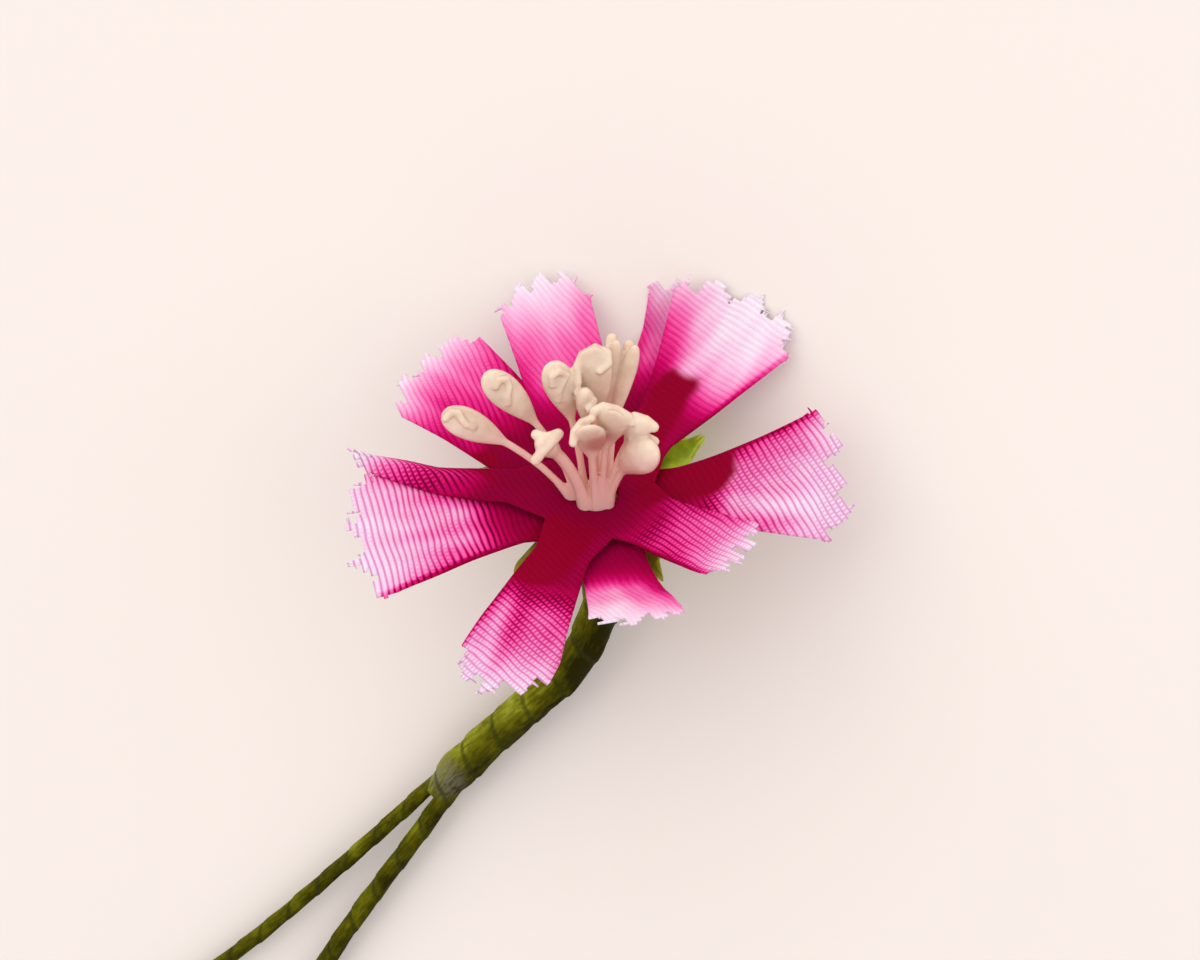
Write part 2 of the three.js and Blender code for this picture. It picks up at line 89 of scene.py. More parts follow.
def smooth(value, low, high):
    """0 to 1, eased, as a value goes from low to high."""
    share = clamped((value - low) / (high - low))
    return share * share * (3 - 2 * share)


print("helpers are ready, for example smooth(1, 0, 4) =", smooth(1, 0, 4))

# %% [markdown]
# ## The head's own axes
# It is hard to think about petals in the frame of a flower that lies on its side. So each
# point of the head is worked out with x to the right, y to the back and z out of the
# flower, in millimetres, and is then laid down by one turn and one shift.

# %% From the head's axes to the table
AXIS_ABOVE_FLOOR = radians(29)
ROLL = radians(19)
STEM_HEADING = radians(50.6)
HEAD_CENTRE = Vector((32.850, 0.503, 8.1))


def head_turn():
    """The turn that lays the head down, as the solids do it."""
    up = Vector((
        -cos(AXIS_ABOVE_FLOOR) * sin(ROLL),
        -cos(AXIS_ABOVE_FLOOR) * cos(ROLL),
        sin(AXIS_ABOVE_FLOOR),
    ))
    along = Vector((cos(STEM_HEADING), 0, sin(STEM_HEADING)))
    along = (along - up * along.dot(up)).normalized()
    return Matrix((along, up.cross(along), up))


HEAD_TURN = head_turn()


def laid(point):
    """A point of the head, in its own millimetres, on the table in metres."""
    return (HEAD_TURN @ Vector(point) + HEAD_CENTRE) * MM


print("the head's centre in metres:", [round(c, 4) for c in laid((0, 0, 0))])

# %% [markdown]
# ## The camera
# The photograph looks down on the flower from close by, with the stem running to the lower
# left. The camera's right, up and towards directions are given in the head's own axes, and
# a long lens keeps the near stamens from growing too large.

# %% The camera at the photograph's viewing angle
VIEW_RIGHT = Vector((0.9978, -0.0422, -0.0503))
VIEW_UP = Vector((0.0656, 0.6420, 0.7640))
VIEW_TOWARDS = VIEW_RIGHT.cross(VIEW_UP)
VIEW_DISTANCE = 245
VIEW_SHIFT = (0.22, 1.84)
LENS = 100

camera_data = bpy.data.cameras.new("camera")
camera_data.lens = LENS
camera_data.sensor_width = 36
camera_data.clip_start = 0.01
camera_data.clip_end = 10
camera = linked("camera", camera_data)
place = laid(VIEW_RIGHT * VIEW_SHIFT[0] + VIEW_UP * VIEW_SHIFT[1] + VIEW_TOWARDS * VIEW_DISTANCE)
turned = [HEAD_TURN @ axis for axis in (VIEW_RIGHT, VIEW_UP, VIEW_TOWARDS)]
camera.matrix_world = Matrix.Translation(place) @ Matrix(turned).transposed().to_4x4()
bpy.context.scene.camera = camera
print("camera looks down at", round(degrees(asin(turned[2].z)), 1), "degrees")

# %% [markdown]
# ## Light and floor
# The photograph is bright and soft, with a pale, slightly warm ground. One large panel at
# the upper left of the picture gives the key light, a weaker one fills from the right, one
# more comes from above, and a pale world lifts the shadows.

# %% Soft studio light
PANEL_DISTANCE = 1.2


def panel(name, direction, size, power, colour):
    """A square light that looks at the head from a direction of the camera's axes."""
    data = bpy.data.lights.new(name, "AREA")
    data.size = size
    data.energy = power
    data.color = colour
    light = linked(name, data)
    towards = sum((axis * c for axis, c in zip(turned, direction)), Vector()).normalized()
    light.location = laid((0, 0, 0)) + towards * PANEL_DISTANCE
    light.rotation_mode = "QUATERNION"
    light.rotation_quaternion = towards.to_track_quat("Z", "Y")


panel("key", (-0.55, 0.52, 0.78), size=1.5, power=6.4, colour=(1.0, 0.97, 0.94))
panel("fill", (0.7, 0.1, 0.85), size=1.2, power=2.8, colour=(0.98, 0.98, 1.0))
panel("top", (0.1, 0.75, 0.55), size=1.0, power=1.4, colour=(1.0, 0.98, 0.97))

world = bpy.data.worlds.new("pale room")
bpy.context.scene.world = world
world.use_nodes = True
sky = world.node_tree.nodes["Background"].inputs
sky["Color"].default_value = (0.96, 0.93, 0.92, 1)
sky["Strength"].default_value = 0.9
bpy.context.scene.view_settings.view_transform = "Standard"

# %% A plain pale floor
def plain_floor(size=3.0):
    """A square of pale, dull paint, which is stage and no part of the flower."""
    bm = bmesh.new()
    bmesh.ops.create_grid(bm, x_segments=1, y_segments=1, size=size / 2)
    floor = linked("floor", mesh_from("floor", bm))
    paint = bpy.data.materials.new("floor paint")
    paint.use_nodes = True
    shader = paint.node_tree.nodes["Principled BSDF"]
    shader.inputs["Base Color"].default_value = (0.825, 0.765, 0.725, 1)
    shader.inputs["Roughness"].default_value = 0.95
    shader.inputs["Specular IOR Level"].default_value = 0.1
    floor.data.materials.append(paint)
    return floor


print("floor:", plain_floor().name)

# %% [markdown]
# ## Making a finish
# A material is a small graph of nodes. Short helpers keep the graphs readable: the first
# adds a node with its settings and its inputs, where an input is a value or another node's
# socket, and the others build on it.

# %% Helpers for node graphs
def add(tree, kind, inputs=None, **settings):
    """Adds a node, sets it up, and fills its inputs with values or with other sockets."""
    node = tree.nodes.new("ShaderNode" + kind)
    for key, value in settings.items():
        setattr(node, key, value)
    for key, value in (inputs or {}).items():
        if isinstance(value, bpy.types.NodeSocket):
            tree.links.new(value, node.inputs[key])
        else:
            node.inputs[key].default_value = value
    return node


def graph_of(*values):
    """The graph that the sockets among some values belong to."""
    return next(v.id_data for v in values if isinstance(v, bpy.types.NodeSocket))


def maths(operation):
    """A function that adds one kind of Math node and gives its result's socket."""
    def apply(*values, clamp=False):
        return add(graph_of(*values), "Math", dict(enumerate(values)),
                   operation=operation, use_clamp=clamp).outputs[0]
    return apply


plus, minus, times, divided, raised, larger = map(
    maths, ("ADD", "SUBTRACT", "MULTIPLY", "DIVIDE", "POWER", "MAXIMUM"))
scaled, rounded, fraction, sine_of, cosine_of = map(
    maths, ("MULTIPLY_ADD", "ROUND", "FRACT", "SINE", "COSINE"))


def wave(turns):
    """A wave between 0 and 1 with a crest at each whole number of turns."""
    return scaled(cosine_of(times(turns, tau)), 0.5, 0.5)


def remap(value, low, high, to_low=0.0, to_high=1.0, eased=True):
    """A socket's value carried from one range to another, and held at its ends."""
    node = add(
        value.id_data, "MapRange",
        {"Value": value, "From Min": low, "From Max": high, "To Min": to_low, "To Max": to_high},
    )
    node.interpolation_type = "SMOOTHSTEP" if eased else "LINEAR"
    return node.outputs["Result"]


def cloud(place, scale, detail, **more):
    """A noise texture's value."""
    inputs = {"Vector": place, "Scale": scale, "Detail": detail, **more}
    return add(place.id_data, "TexNoise", inputs).outputs["Fac"]


def split(vector):
    """A vector's first two numbers."""
    parts = add(vector.id_data, "SeparateXYZ", {"Vector": vector})
    return parts.outputs["X"], parts.outputs["Y"]


def own_place(tree):
    """The coordinates of the piece that wears the material."""
    return add(tree, "TexCoord").outputs["Object"]


def ramp(factor, stops):
    """A colour ramp's socket, from (position, (r, g, b)) pairs."""
    node = add(factor.id_data, "ValToRGB", {"Fac": factor})
    elements = node.color_ramp.elements
    while len(elements) < len(stops):
        elements.new(0.5)
    for element, (position, colour) in zip(elements, stops):
        element.position = position
        element.color = (*colour, 1)
    return node.outputs["Color"]


def mixed(factor, first, second, blend="MIX"):
    """Two colours mixed by a factor."""
    node = add(graph_of(factor, first, second), "Mix", data_type="RGBA", blend_type=blend)
    for socket, value in zip((node.inputs[0], node.inputs[6], node.inputs[7]),
                             (factor, first, second)):
        if isinstance(value, bpy.types.NodeSocket):
            node.id_data.links.new(value, socket)
        else:
            socket.default_value = value if isinstance(value, float) else (*value, 1)
    return node.outputs[2]


def tinted(factor, colour, tint):
    """A colour multiplied by a tint, as far as the factor says."""
    return mixed(factor, colour, mixed(1.0, colour, tint, "MULTIPLY"))


def new_material(name, **plain):
    """A material with a Principled shader and its plain settings."""
    material = bpy.data.materials.new(name)
    material.use_nodes = True
    shader = material.node_tree.nodes["Principled BSDF"]
    for key, value in plain.items():
        shader.inputs[key.replace("_", " ")].default_value = value
    return material, material.node_tree, shader


def drive(node, **sockets):
    """Links sockets to a node's inputs, such as a shader's Base_Color."""
    for key, socket in sockets.items():
        node.id_data.links.new(socket, node.inputs[key.replace("_", " ")])


def new_group(name, inputs, outputs):
    """A node group. Its inputs have defaults, or None for a vector; its outputs are values."""
    group = bpy.data.node_groups.new(name, "ShaderNodeTree")
    for key, value in inputs.items():
        kind = "NodeSocketVector" if value is None else "NodeSocketFloat"
        socket = group.interface.new_socket(key, in_out="INPUT", socket_type=kind)
        if value is not None:
            socket.default_value = value
    for key in outputs:
        group.interface.new_socket(key, in_out="OUTPUT", socket_type="NodeSocketFloat")
    ends = [group.nodes.new("NodeGroup" + end) for end in ("Input", "Output")]
    return group, *ends


print("graph helpers are ready")

# %% [markdown]
# ### Ribbed cloth as a shared effect
# The petals are cut from a ribbed taffeta. Thick, shiny ribs lie side by side less than
# half a millimetre apart, and fine threads cross them, so that close up the cloth is rows
# of small beads. Both layers use it, so it is a node group. It reads the flat cut's own
# coordinates, so the ribs bend with the petals.

# %% The group for woven ribs
RIB_PITCH = 0.465
THREAD_PITCH = 0.31
RIB_DRIFT = 0.7
BEAD_DEPTH = 0.3


def woven_ribs():
    """Ribs, the beads on them and their relief, from the cut's coordinates in mm."""
    group, given, result = new_group(
        "Woven ribs",
        {"Cut": None, "Rib pitch": RIB_PITCH, "Thread pitch": THREAD_PITCH},
        ["Ribs", "Beads", "Relief"],
    )
    cut = given.outputs["Cut"]
    shift = scaled(cloud(cut, 0.3, 1.0), RIB_DRIFT, -RIB_DRIFT / 2)
    x, y = split(cut)
    across = divided(plus(y, shift), given.outputs["Rib pitch"])
    along = divided(x, given.outputs["Thread pitch"])
    ribs = wave(across)
    beads = wave(plus(along, times(rounded(across), 0.5)))
    relief = times(ribs, scaled(beads, BEAD_DEPTH, 1 - BEAD_DEPTH))
    drive(result, Ribs=ribs, Beads=beads, Relief=relief)
    return group


WOVEN_RIBS = woven_ribs()
print("group:", WOVEN_RIBS.name)

# %% [markdown]
# ### Grain as a shared effect
# Wax, moulded plastic and crepe tape all have an uneven skin. One group gives a coarse and
# a fine noise on the object's own coordinates, and each material sets its scales.

# %% The group for grain
def uneven_skin():
    """Coarse patches, and a relief that adds the fine noise to them."""
    group, given, result = new_group(
        "Uneven skin", {"Place": None, "Coarse": 400.0, "Fine": 2500.0, "Fine share": 0.3},
        ["Patches", "Relief"],
    )
    coarse, fine = (cloud(given.outputs["Place"], given.outputs[key], detail)
                    for key, detail in (("Coarse", 3.0), ("Fine", 2.0)))
    drive(result, Patches=coarse, Relief=scaled(fine, given.outputs["Fine share"], coarse))
    return group


UNEVEN_SKIN = uneven_skin()
print("group:", UNEVEN_SKIN.name)


def skin_on(tree, coarse, fine, share):
    """The patches and the relief of the uneven skin, on the piece's own coordinates."""
    inputs = {"Place": own_place(tree), "Coarse": coarse, "Fine": fine, "Fine share": share}
    return add(tree, "Group", inputs, node_tree=UNEVEN_SKIN).outputs[:2]


def bump(shader, height, depth, strength):
    """Relief on a material's shader, with its depth in mm."""
    relief = add(shader.id_data, "Bump",
                 {"Height": height, "Distance": depth * MM, "Strength": strength})
    drive(shader, Normal=relief.outputs["Normal"])

# %% [markdown]
# ## Petals
# Each layer is one stamping: five petals round a hub with a hole. On the real flower the cut
# is made flat and the heat of the tool then curls it. The lesson does the same. The cut is
# a grid whose squares follow the threads of the cloth, with everything outside the outline
# deleted, so that the toothed tips fray rib by rib as they do in the photograph. After that
# every point is carried to the bent petal by the rule that also shapes the solids.

# %% The two layers, as numbers
SHAPE = {"waist": 2.3, "settle": 0, "cup": 0, "fold": 0, "curl": (0, 9, 0), "tip_round": 1.3}
PRINT = {"dye": 0.4, "sides": 0.3, "weave": 1.0, "beads": 0.2, "deep": 10.5, "lean": 0,
         "streak": (0, 1, 0), "rim": (1, 0)}
ANGLES = ("azimuth", "rise", "twist", "swing", "cup", "fold")


def petal(azimuth, length, half, rise, twist, swing, **own):
    """One petal: where it points, its cut, how it bends, and how dye and weave show on it."""
    this = SimpleNamespace(azimuth=azimuth % 360, length=length, half=half, rise=rise,
                           twist=twist, swing=swing, **{**SHAPE, **PRINT, **own})
    for key in ANGLES:
        setattr(this, key, radians(getattr(this, key)))
    return this


UPPER_PETALS = [
    petal(-11, 18.3, 4.1, 4, -15, -2, dye=0.52, weave=0.2, waist=3.5, cup=16, tip_round=3.0),
    petal(48, 19.2, 6.2, 18, 18, -3, dye=0.3, sides=0.45, weave=0.2, waist=1.8, cup=12,
          curl=(1, 4.6, -38), deep=12.5, tip_round=2.2, lean=-0.12, streak=(-3.0, 1.0, 0.2),
          rim=(1, 0.35)),
    petal(131.5, 13.7, 3.1, 10, -8, 1, dye=0.4, weave=0.8, beads=0.9, cup=8, deep=7.8,
          lean=0.1, rim=(1, 0.4)),
    petal(204, 19.4, 4.1, -10, 6, -1, dye=0.39, sides=0.22, beads=1.0, waist=1.9, cup=-12,
          curl=(-1, 3.2, 120), tip_round=2.6, lean=-0.02, deep=13.0, streak=(0.2, 1.5, 0.2),
          rim=(1, 0.3)),
    petal(271, 18.0, 1.3, 6, 28, 8, dye=0.85, beads=0.5, waist=1.5, fold=-30),
]
LOWER_PETALS = [
    petal(34, 19.4, 4.2, -4, 6, -5, dye=0.56, weave=0.2, cup=6, deep=12.5),
    petal(98, 18.2, 5.2, 2, 25, -2, dye=0.25, sides=0.35, beads=0.7, cup=-6,
          curl=(1, 4.3, -110), lean=-0.16, rim=(-1, 0.45)),
    petal(171.5, 18.0, 3.4, 112, -6, 2, dye=0.36, weave=0.2, beads=0.4, settle=0.85, cup=-10,
          lean=-0.28),
    petal(254, 18.2, 5.0, -4, -20, 4, dye=0.26, sides=0.35, beads=0.15, cup=-5, lean=0.04,
          rim=(-1, 0.6)),
    petal(310, 17.3, 5.2, -9, 0, -1, dye=0.72, weave=0.35, waist=3.2, cup=10, tip_round=2.2,
          streak=(-1.2, 1.4, 0.26)),
]
UPPER_LIFT = 0.75
HUB_RADIUS = 4.6
HOLE_RADIUS = 1.6
PETAL_HINGE = 7.0
FLARE_FROM = 0.12
FLARE_POWER = 1.1
WAIST_BLEND = 0.2
TEETH = [0.1, 0.45, -0.75, 0.35, 0.45, -0.85, 0.35, 0.6, -0.7, 0.3, 0.35, -0.55, 0.0]


def set_reaches(petals):
    """Each petal's sector ends halfway to its neighbours."""
    ordered = sorted(petals, key=lambda p: p.azimuth)
    for i, this in enumerate(ordered):
        after = ordered[(i + 1) % len(ordered)]
        gap = (after.azimuth - this.azimuth) % tau
        this.after = gap / 2
        after.before = gap / 2


for layer in (UPPER_PETALS, LOWER_PETALS):
    set_reaches(layer)
print("petals:", len(UPPER_PETALS), "upper,", len(LOWER_PETALS), "lower")

# %% Where a point of the cut lies on its petal
BORDER = 1e-9


def on_petal(petals, x, y):
    """The petal that a flat point belongs to, and the point along and across it."""
    radius, azimuth = polar(x, y)
    for this in petals:
        turn = (azimuth - this.azimuth + pi) % tau - pi
        if -this.before - BORDER <= turn <= this.after + BORDER:
            return this, radius * cos(turn), radius * sin(turn)
    raise ValueError("the petals' sectors leave a gap")


def outline(this, s, w):
    """The share of the way to the tip, and the half width of the cut there."""
    reach = this.after if w > 0 else this.before
    start = HUB_RADIUS * cos(reach)
    share = max(0.0, (s - start) / (this.length - start))
    flare = max(0, (share - FLARE_FROM) / (1 - FLARE_FROM))**FLARE_POWER
    half = this.waist + (this.half - this.waist) * flare
    blend = min(1, share / WAIST_BLEND)
    return share, HUB_RADIUS * sin(reach) * (1 - blend) + half * blend


def tip_length(this, v):
    """How far the toothed tip reaches at a place across it, from -1 to 1."""
    place = (max(-1, min(1, v)) + 1) * (len(TEETH) - 1) / 2
    i = min(int(place), len(TEETH) - 2)
    tooth = TEETH[i] + (TEETH[i + 1] - TEETH[i]) * (place - i)
    return this.length - this.tip_round * min(1, abs(v))**3 + tooth


print("outline half way out:", round(outline(UPPER_PETALS[0], 11, 1)[1], 2), "mm")

# %% [markdown]
# ### Bending the flat cut
# The hub lies on a wide cone that leans up at the back. Past its hinge each petal rises,
# twists and swings more and more towards the tip, which is worked out in short steps along
# its middle. Across the petal a second rule cups it, folds it lengthwise or curls one edge.

# %% The cone of the hub
CONE_RISE = 13
CONE_LEAN = 15


def cone_rise(azimuth):
    """The hub's slope, steepest at the back."""
    return radians(CONE_RISE + CONE_LEAN * cos(azimuth))


def cone_point(radius, azimuth, lift):
    """A point on the hub, or lifted off it along the cone's normal."""
    rise = cone_rise(azimuth)
    out = radius * cos(rise) - lift * sin(rise)
    height = radius * sin(rise) + lift * cos(rise)
    return Vector((out * sin(azimuth), out * cos(azimuth), height))


print("the hub rises by", [round(degrees(cone_rise(a))) for a in (0, pi)], "degrees")

# %% The rule that bends a petal
BEND_STEPS = 8
TWIST_POWER = 1.5
SECTION_ONSET = 2.2
FOLD_WIDTH = 0.5
CURL_WIDTH = 0.7


def bent_axes(this, share):
    """The directions along, across and out of the petal, a share of the way to its tip."""
    sine, cosine = sin(this.azimuth), cos(this.azimuth)
    hinge = cone_rise(this.azimuth)
    along0 = Vector((cos(hinge) * sine, cos(hinge) * cosine, sin(hinge)))
    across0 = Vector((cosine, -sine, 0))
    out0 = across0.cross(along0)
    rise = this.rise * share * (1 - this.settle * share)
    swing = this.swing * share
    twist = this.twist * max(0, share)**TWIST_POWER
    along = (along0 * cos(rise) * cos(swing) + out0 * sin(rise)
             + across0 * cos(rise) * sin(swing))
    out = out0 * cos(rise) - along0 * sin(rise)
    out = (out - along * out.dot(along)).normalized()
    across = along.cross(out)
    return (along, across * cos(twist) - out * sin(twist),
            out * cos(twist) + across * sin(twist))


def cross_section(this, share, w):
    """How a petal that is cupped, folded or curled places a point across it."""
    side, start, curl = this.curl
    grown = min(1, SECTION_ONSET * share)
    x = z = 0.0
    for i in range(BEND_STEPS):
        at = w * (i + 0.5) / BEND_STEPS
        slope = this.cup * abs(at) / this.half + this.fold * min(1, abs(at) / FOLD_WIDTH)
        slope += radians(curl) * clamped((at * side - start) / CURL_WIDTH)
        x += cos(slope * grown) * w / BEND_STEPS
        z += sin(slope * grown) * abs(w) / BEND_STEPS
    return x, z


def bent(this, s, w, lift, hinge=PETAL_HINGE):
    """Where a point of the cut ends up on the head, in the head's own axes."""
    flat = cone_point(hypot(s, w), this.azimuth + atan2(w, s), lift)
    origin = cone_point(hinge, this.azimuth, 0)
    along0, across0, out0 = bent_axes(this, 0)
    offset = flat - origin
    past = offset.dot(along0)
    if past <= 0:
        return flat
    spine = this.length - hinge
    centre = origin
    for i in range(BEND_STEPS):
        along = bent_axes(this, past * (i + 0.5) / BEND_STEPS / spine)[0]
        centre = centre + along * past / BEND_STEPS
    share = past / spine
    _, across, out = bent_axes(this, share)
    x, z = cross_section(this, share, w)
    narrowed = offset.dot(across0) * (x / w if w else 1)
    return centre + across * narrowed + out * (offset.dot(out0) + z)


print("a tip lies at", [round(c, 1) for c in bent(UPPER_PETALS[0], 17.6, 0, 0)])

# %% [markdown]
# ### What lies behind the cloth
# The thin cloth lets light through, and a green sepal that lies behind it blocks that light.
# That shadow is painted: the cloth goes deep crimson there, and a vertex attribute holds where,
# worked out from the sepals' own outline. Another one holds the dye, which was printed from
# the centre and crept along the cut edges. Close round the hole it is at its darkest, partly
# the hub's own crimson and partly painted shade under the stamens' foot. On some petals it
# also left a thin line on one rim.

# %% The sepals, and the painted shadow where one lies behind the cloth
SEPALS = [
    petal(44, 11.9, 1.3, -2, 0, 0),
    petal(63, 9.2, 0.6, 4, 0, 0),
    petal(87, 10.8, 1.9, -14, 0, 0),
    petal(149, 8.0, 1.4, -6, 0, 0),
    petal(214, 10.4, 2.4, -10, 0, 0),
    petal(285, 9.8, 1.6, -10, 0, 0),
]
SEPALS_BEHIND = [SEPALS[i] for i in (0, 2, 4, 5)]
SEPAL_BELLY = 2.1
SEPAL_TAPER_FROM = 0.7
SEPAL_TAPER_OVER = 0.32
SEPAL_TIP_SHARE = 0.02
SEPAL_ROUND = 2
SEPAL_SQUARE = 14
# The edge of the painted sepal shadow, and how far past a sepal's tip it reaches.
SHADOW_WANDER = 0.45
SHADOW_SCALE = 0.55
SHADOW_SEED = 7.3
SHADOW_EDGE = (-0.5, 0.35)
SHADOW_PAST_TIP = 1.1


def sepal_half(sepal, share):
    """A sepal's half width on the way to its tip. The first one ends square."""
    body = SEPAL_BELLY + (sepal.half - SEPAL_BELLY) * share**2
    power = SEPAL_SQUARE if sepal is SEPALS[0] else SEPAL_ROUND
    past = max(0, (share - SEPAL_TAPER_FROM) / SEPAL_TAPER_OVER)
    return body * max(SEPAL_TIP_SHARE, 1 - past**power)**0.5


def sepal_shadow_at(x, y):
    """1 where a sepal lies behind the cloth and its shadow is painted on it, with a soft edge
    that wanders a little.
    """
    most = 0.0
    wander = SHADOW_WANDER * noise.noise(Vector((x * SHADOW_SCALE, y * SHADOW_SCALE, SHADOW_SEED)))
    radius, azimuth = polar(x, y)
    for sepal in SEPALS_BEHIND:
        turn = azimuth - sepal.azimuth
        s, w = radius * cos(turn), radius * sin(turn)
        share = s / sepal.length
        if 0 < share < SHADOW_PAST_TIP:
            inside = min(sepal_half(sepal, min(share, 1)) - abs(w), sepal.length - s)
            most = max(most, smooth(inside + wander, *SHADOW_EDGE))
    return most


print("a sepal touches the cloth at 6 mm:", sepal_shadow_at(4.3, 4.2) > 0.5)

# %% The dye's strength
# The hub's own crimson deepened by painted shade under the stamens' foot: the dye is held at its
# strongest inside this ring and loses a little across it.
FOOT_SHADE_RING = (2.0, 4.8)
FOOT_SHADE_LOSS = 0.14
PRINT_EDGE = 4
FADE_FROM = 8
BLADE_FROM = (5, 9)
RIM_LINE = (0.88, 0.97)
STREAK_DEPTH = 0.16
STREAK_SCALE = (0.22, 0.8)
STREAK_SEED = 7
FADE_POWERS = {"body": 0.9, "sides": 0.5, "streaks": 0.4, "rim": 0.35}


def dye_at(this, s, w):
    """How strong the dye is, from 1 at the centre to 0 at a faded tip."""
    radius, deep = hypot(s, w), this.deep
    left = 1 - clamped((radius - FADE_FROM) / (this.length - FADE_FROM))
    fade = {part: left**power for part, power in FADE_POWERS.items()}
    # Partly the hub's own dye and partly painted shade round the stamens' foot.
    centre = (1 - FOOT_SHADE_LOSS * smooth(radius, *FOOT_SHADE_RING)
              - (1 - FOOT_SHADE_LOSS) * smooth(radius, deep - PRINT_EDGE, deep))
    blade = smooth(radius, *BLADE_FROM)
    _, half = outline(this, s, w)
    crept = this.sides * min(1, abs(w) / half)**3 * fade["sides"] * blade
    rim_side, rim = this.rim
    crept += rim * smooth(w * rim_side / half, *RIM_LINE) * fade["rim"]
    beside, spread, strength = this.streak
    grain = Vector((s * STREAK_SCALE[0], w * STREAK_SCALE[1], this.azimuth * STREAK_SEED))
    streaks = (STREAK_DEPTH * noise.noise(grain) + this.lean * w / half
               + strength * exp(-((w - beside) / spread)**2))
    body = this.dye * fade["body"] + crept + streaks * blade * fade["streaks"]
    return clamped(body + (1 - body) * centre)


print("dye from hub to tip:",
      [round(dye_at(LOWER_PETALS[1], s, 0), 2) for s in (5, 8, 11, 14, 17)])

# %% [markdown]
# ### Stamping a layer
# The grid's long threads run along the ribs. A square stays when its middle is inside the
# outline, and at the tip the whole rib decides, so each rib ends square and at its own
# length. Points on the long sides are then moved onto the outline, because those edges are
# sealed and smooth. A few threads at the tips are pulled out as single fibres.

# %% Cutting the flat layer from a grid
SQUARE_ALONG = 0.2
SQUARE_ACROSS = RIB_PITCH / 3
SHEET_SPAN = 40.0
FRAY = 0.28
FRAY_COUNT = 97
UPPER_CUT = {"petals": UPPER_PETALS, "rib_angle": -52, "lift": UPPER_LIFT, "seed": 3}
LOWER_CUT = {"petals": LOWER_PETALS, "rib_angle": -70, "lift": 0, "seed": 8}


def woven_square(rib_angle):
    """A grid along the threads, and the turn from its axes to the head's flat axes."""
    bm = bmesh.new()
    columns = round(SHEET_SPAN / SQUARE_ALONG)
    rows = round(SHEET_SPAN / SQUARE_ACROSS)
    bmesh.ops.create_grid(bm, x_segments=columns, y_segments=rows, size=1)
    half = max(v.co.x for v in bm.verts)
    bmesh.ops.scale(bm, verts=bm.verts, vec=Vector((1, 1, 1)) * SHEET_SPAN / 2 / half)
    return bm, Matrix.Rotation(radians(rib_angle), 2)


def hole_radius(azimuth, lift):
    """The hole in the flat cut, which is round only once the hub is a cone."""
    rise = cone_rise(azimuth)
    return (HOLE_RADIUS + lift * sin(rise)) / cos(rise)


def keeps(petals, turn, place, lift, frays):
    """Whether a square of the grid is part of the cut."""
    x, y = turn @ place.xy
    radius, azimuth = polar(x, y)
    if radius < hole_radius(azimuth, lift):
        return False
    if radius <= HUB_RADIUS:
        return True
    this, s, w = on_petal(petals, x, y)
    share, half = outline(this, s, w)
    if share <= 0 or abs(w) > half:
        return False
    rib = round(place.y / RIB_PITCH)
    rib_x, rib_y = turn @ Vector((place.x, rib * RIB_PITCH))
    along = rib_x * sin(this.azimuth) + rib_y * cos(this.azimuth)
    across = rib_x * cos(this.azimuth) - rib_y * sin(this.azimuth)
    return along <= tip_length(this, across / half) + frays[rib % len(frays)]


def cut_layer(petals, rib_angle, lift, seed):
    """The flat cut, in millimetres, in the axes of its threads."""
    draw = random.Random(seed)
    frays = [draw.uniform(-FRAY, FRAY) for _ in range(FRAY_COUNT)]
    bm, turn = woven_square(rib_angle)
    outside = [f for f in bm.faces
               if not keeps(petals, turn, f.calc_center_median(), lift, frays)]
    bmesh.ops.delete(bm, geom=outside, context="FACES")
    return bm, turn, draw


bm = cut_layer(**UPPER_CUT)[0]
print("squares in a cut:", len(bm.faces))
bm.free()

# %% Sealing the sides and pulling threads at the tips
HUB_MARGIN = 0.9
SEAL_REACH = 0.35
SEALED_UP_TO = 0.85
TIP_ZONE = 0.9
TIPS_FROM = 0.75
SHARE_PULLED = 0.08
PULL_LENGTHS = (0.15, 0.75)
PULL_LEAN = 0.4
PULL_WIDTH = 0.35


def largest_part(bm):
    """Drops the crumbs that a toothed cut leaves beside the layer."""
    left = set(bm.faces)
    parts = []
    while left:
        part, queue = set(), [left.pop()]
        while queue:
            face = queue.pop()
            part.add(face)
            for edge in face.edges:
                for other in edge.link_faces:
                    if other in left:
                        left.discard(other)
                        queue.append(other)
        parts.append(part)
    parts.sort(key=len)
    for part in parts[:-1]:
        bmesh.ops.delete(bm, geom=list(part), context="FACES")


def seal_sides(bm, petals, turn, lift):
    """Moves the points of the hole and of the long sides onto the outline."""
    for vert in bm.verts:
        if not vert.is_boundary:
            continue
        flat = turn @ vert.co.xy
        if flat.length < HUB_RADIUS - HUB_MARGIN:
            flat *= hole_radius(atan2(flat.x, flat.y), lift) / flat.length
        else:
            this, s, w = on_petal(petals, *flat)
            share, half = outline(this, s, w)
            if share > SEALED_UP_TO or abs(abs(w) - half) > SEAL_REACH:
                continue
            w = copysign(half, w)
            sine, cosine = sin(this.azimuth), cos(this.azimuth)
            flat = Vector((s * sine + w * cosine, s * cosine - w * sine))
        vert.co.xy = turn.transposed() @ flat


